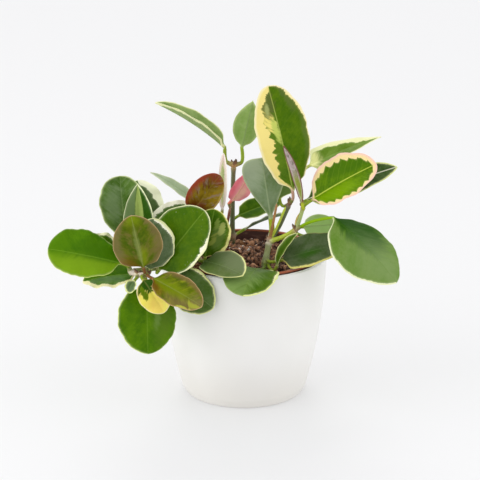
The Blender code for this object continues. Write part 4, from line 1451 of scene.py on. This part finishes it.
# %% [markdown]
# Every leaf gets its own seed by its order, so its notches and clouds stay the same from run to run.


def make_leaf(name, row, paint, seed):
    """The leaf's mesh, with its place on the blade stored on its points, in its own finish."""
    loops, blade, region = leaf_loops(name, row, seed)
    points, faces = stacked(loops)
    numbers = {"blade": with_ends(blade), "region": with_ends(region)}
    finish = leaf_finish(name + "_paint", paint, seed)
    fine = name + "_fine"
    return new_piece(fine, points, faces, numbers, replaces=[name], finish=finish)


for number, (name, (row, paint)) in enumerate(LEAVES.items()):
    make_leaf(name, row, paint, number + 1)
print("leaves:", len(LEAVES))


# %% [markdown]
# ## The stems
#
# A stem is a tube that swells at each node, with a cushion where each leaf stalk joins it. Its colour
# changes from one run to the next, from green to brown and red, so each point carries a colour of its
# own, and the finish only adds speckle and shine to it.

# %% Stem colours
SKINS = {
    "stem_grey": (150, 160, 104),
    "stem_green": (140, 146, 84),
    "stem_lime": (194, 212, 62),
    "stem_pale": (170, 186, 110),
    "stem_dark": (94, 104, 66),
    "stem_orange": (172, 122, 70),
    "stem_tan": (206, 180, 84),
    "stem_cream": (222, 208, 196),
    "stem_red": (140, 84, 66),
    "cushion": (124, 136, 56),
    "scale_foot": (176, 140, 96),
    "scale_tip": (70, 44, 34),
}
# A node's colour, and how many times thicker than its stem it is.
PLAIN_NODE = ((176, 142, 116), 1.35)
NODES = {
    "right_foot": ((132, 138, 96), 1.1),
    "right_fork": ((236, 222, 204), 1.4),
    "right_elbow": ((196, 166, 130), 1.4),
    "right_top": ((178, 134, 112), 1.35),
    "right_rear_top": ((140, 100, 92), 1.4),
    "left_outer": ((216, 208, 176), 1.35),
    "left_second": ((226, 216, 182), 1.3),
    "left_tip": ((160, 120, 84), 1.3),
    "back_top": ((200, 168, 116), 2.1),
}
# How many bud scales a node carries, and how long they are.
SCALES = {
    "back_top": (6, 3.6), "right_elbow": (4, 3.0), "right_top": (3, 2.4), "right_rear_top": (4, 3.4),
    "left_tip": (3, 3.0), "left_second": (4, 3.0), "middle_top": (3, 3.0), "right_fork": (2, 2.4),
}
print("stem colours:", len(SKINS), "nodes with their own:", len(NODES))


# %% Stem surfaces
STEM_SIDES = 14
NODE_REACH = 3.0
CUSHION_STEPS = 7
SCALE_STEPS = 6
SCALE_RADIUS = 1.3
# No stem runs quite this way, so a tube's rings can be laid out from it without a twist.
RING_LEAD = (0.3, 0.9, 0.2)


def along_curve(points, per_span=14):
    """Points on a smooth curve through the given ones: between two, a cubic of them and their neighbours."""
    given = np.array(points, float)
    padded = np.vstack([2 * given[0] - given[1], given, 2 * given[-1] - given[-2]])
    t = np.linspace(0.0, 1.0, per_span, endpoint=False)[:, None]
    rows = [
        0.5 * (2 * b + (c - a) * t + (2 * a - 5 * b + 4 * c - d) * t**2 + (3 * b - a - 3 * c + d) * t**3)
        for a, b, c, d in zip(padded, padded[1:], padded[2:], padded[3:])
    ]
    return np.vstack([*rows, given[-1:]])


def tube(line, radius, colour):
    """A round tube along a line: a ring of cosines and sines across its direction at each point.

    It gives the points, the faces and a colour for each point.
    """
    way = unit(np.gradient(line, axis=0))
    side = unit(np.cross(way, np.array(RING_LEAD)))
    up = np.cross(side, way)
    angle = np.linspace(0.0, 2.0 * np.pi, STEM_SIDES, endpoint=False)[None, :, None]
    ring = np.cos(angle) * up[:, None, :] + np.sin(angle) * side[:, None, :]
    loops = line[:, None, :] + ring * radius[:, None, None]
    return *stacked(loops), with_ends(np.broadcast_to(colour[:, None, :], loops.shape))


def stem_run(run, nodes):
    """One run: an even taper, swollen and tinted near each node that carries leaves."""
    line = along_curve([place_of(spot) for spot in run.points])
    reach = np.linspace(0.0, 1.0, len(line))
    radius = run.start + (run.end - run.start) * reach
    colour = np.tile(linear(SKINS[run.skin]), (len(line), 1))
    for spot in nodes:
        away = np.linalg.norm(line - place_of(spot), axis=1)
        near = np.exp(-((away / NODE_REACH) ** 2))
        tint, swelling = NODES.get(spot, PLAIN_NODE)
        radius = radius + (stem_radius_at(spot) * swelling - radius) * near
        colour = colour + (np.array(linear(tint)) - colour) * (0.8 * near)[:, None]
    ends = [np.clip(away * len(line) / 2.0, 0.05, 1.0) for away in (reach, 1 - reach)]
    return tube(line, radius * np.sqrt(ends[0] * ends[1]), colour)


def cushion(row):
    """A short cone from the node to the leaf's stalk."""
    end, outward = cushion_of(row)
    line = np.linspace(place_of(row.place), end + outward * 0.6, CUSHION_STEPS)
    radius = np.linspace(stem_radius_at(row.place) * 0.95, row.petiole * 1.12, CUSHION_STEPS)
    tint, _ = NODES.get(row.place, PLAIN_NODE)
    return tube(line, radius, np.linspace(linear(tint), linear(SKINS["cushion"]), CUSHION_STEPS))


def bud_scales(spot, count, length, seed):
    """Small dry scales at a node: short, pointed tubes that lean outwards and up."""
    rng = np.random.default_rng(seed)
    shells = []
    for turn in rng.uniform(0.0, 2.0 * np.pi, count):
        out = unit(np.array([math.cos(turn), math.sin(turn), rng.uniform(0.5, 1.6)]))
        start = place_of(spot) + out * stem_radius_at(spot) * 0.9
        reach = np.linspace(0.0, 1.0, SCALE_STEPS)[:, None]
        line = start + (out + np.array([0.0, 0.0, 0.5]) * reach) * reach * length * rng.uniform(0.6, 1.0)
        radius = SCALE_RADIUS * np.sqrt(np.clip(1.0 - reach[:, 0] ** 2.0, 0.05, 1.0))
        colour = np.linspace(linear(SKINS["scale_foot"]), linear(SKINS["scale_tip"]), SCALE_STEPS)
        shells.append(tube(line, radius, colour))
    return shells


def stem_finish():
    """The colour stored on the points, with brown specks and broad reddish clouds."""
    made, shader, net = new_finish("stem_skin")
    skin = net.node("ShaderNodeAttribute", {"attribute_name": "skin"}, out="Vector")
    x, y, z = net.node("ShaderNodeTexCoord", out="Object").parts()
    speckle = net.noise(x * 700.0, y * 700.0, z * 260.0, detail=3.0, roughness=0.6)
    broad = net.noise(x * 150.0, y * 150.0, z * 80.0, detail=2.0)
    shade = net.mix(speckle.ramp(0.55, 0.72) * 0.4, skin, (92, 66, 46))
    feed(shader, "Base Color", net.mix(broad.ramp(0.5, 0.75) * 0.3, shade, (120, 84, 66)))
    feed(shader, "Roughness", 0.42 + broad * 0.2)
    feed(shader, "Normal", bump(net, speckle, 0.25))
    return made


def make_stem(name, runs, finish):
    """A stem's runs, a cushion for each leaf that it carries, and the bud scales at its nodes."""
    spots = {spot for run in runs for spot in run.points if isinstance(spot, str)}
    carried = [row for row, _ in LEAVES.values() if row.place in spots]
    nodes = sorted({row.place for row in carried})
    shells = [stem_run(run, nodes) for run in runs] + [cushion(row) for row in carried]
    for spot in sorted(spots & set(SCALES)):
        shells += bud_scales(spot, *SCALES[spot], seed=len(spot) + 20)
    points, faces = merged(shells)
    skin = {"skin": np.vstack([colours for _, _, colours in shells])}
    return new_piece(name + "_fine", points, faces, skin, replaces=[name], finish=finish)


skin_finish = stem_finish()
for name, runs in STEMS.items():
    make_stem(name, runs, skin_finish)
print("stems:", len(STEMS))


# %% [markdown]
# The same tube makes the fine roots and fibres that lie about on the compost.

# %% Fibres on the compost
def fibres(count, seed):
    """Thin tubes along wandering lines, half a millimetre above the compost's surface."""
    rng = np.random.default_rng(seed)
    shells = []
    for _ in range(count):
        away, way = 48.0 * math.sqrt(rng.random()), rng.uniform(0.0, 2.0 * math.pi)
        heading = rng.uniform(0.0, 2.0 * math.pi) + np.cumsum(rng.normal(0.0, 0.5, 5))
        step = rng.uniform(1.6, 3.4)
        x = away * math.cos(way) + np.cumsum(step * np.cos(heading))
        y = away * math.sin(way) + np.cumsum(step * np.sin(heading))
        line = along_curve(np.stack([x, y, soil_height(x, y) + rng.uniform(0.2, 1.2)], axis=1), 5)
        taper = np.linspace(1.0, 0.4, len(line)) * rng.uniform(0.25, 0.6)
        shells.append(tube(line, taper, np.zeros((len(line), 3))))
    return merged(shells)


points, faces = fibres(46, 14)
new_piece("compost_fibres", points, faces, finish=bark_finish)
print("fibres:", len(faces), "faces")
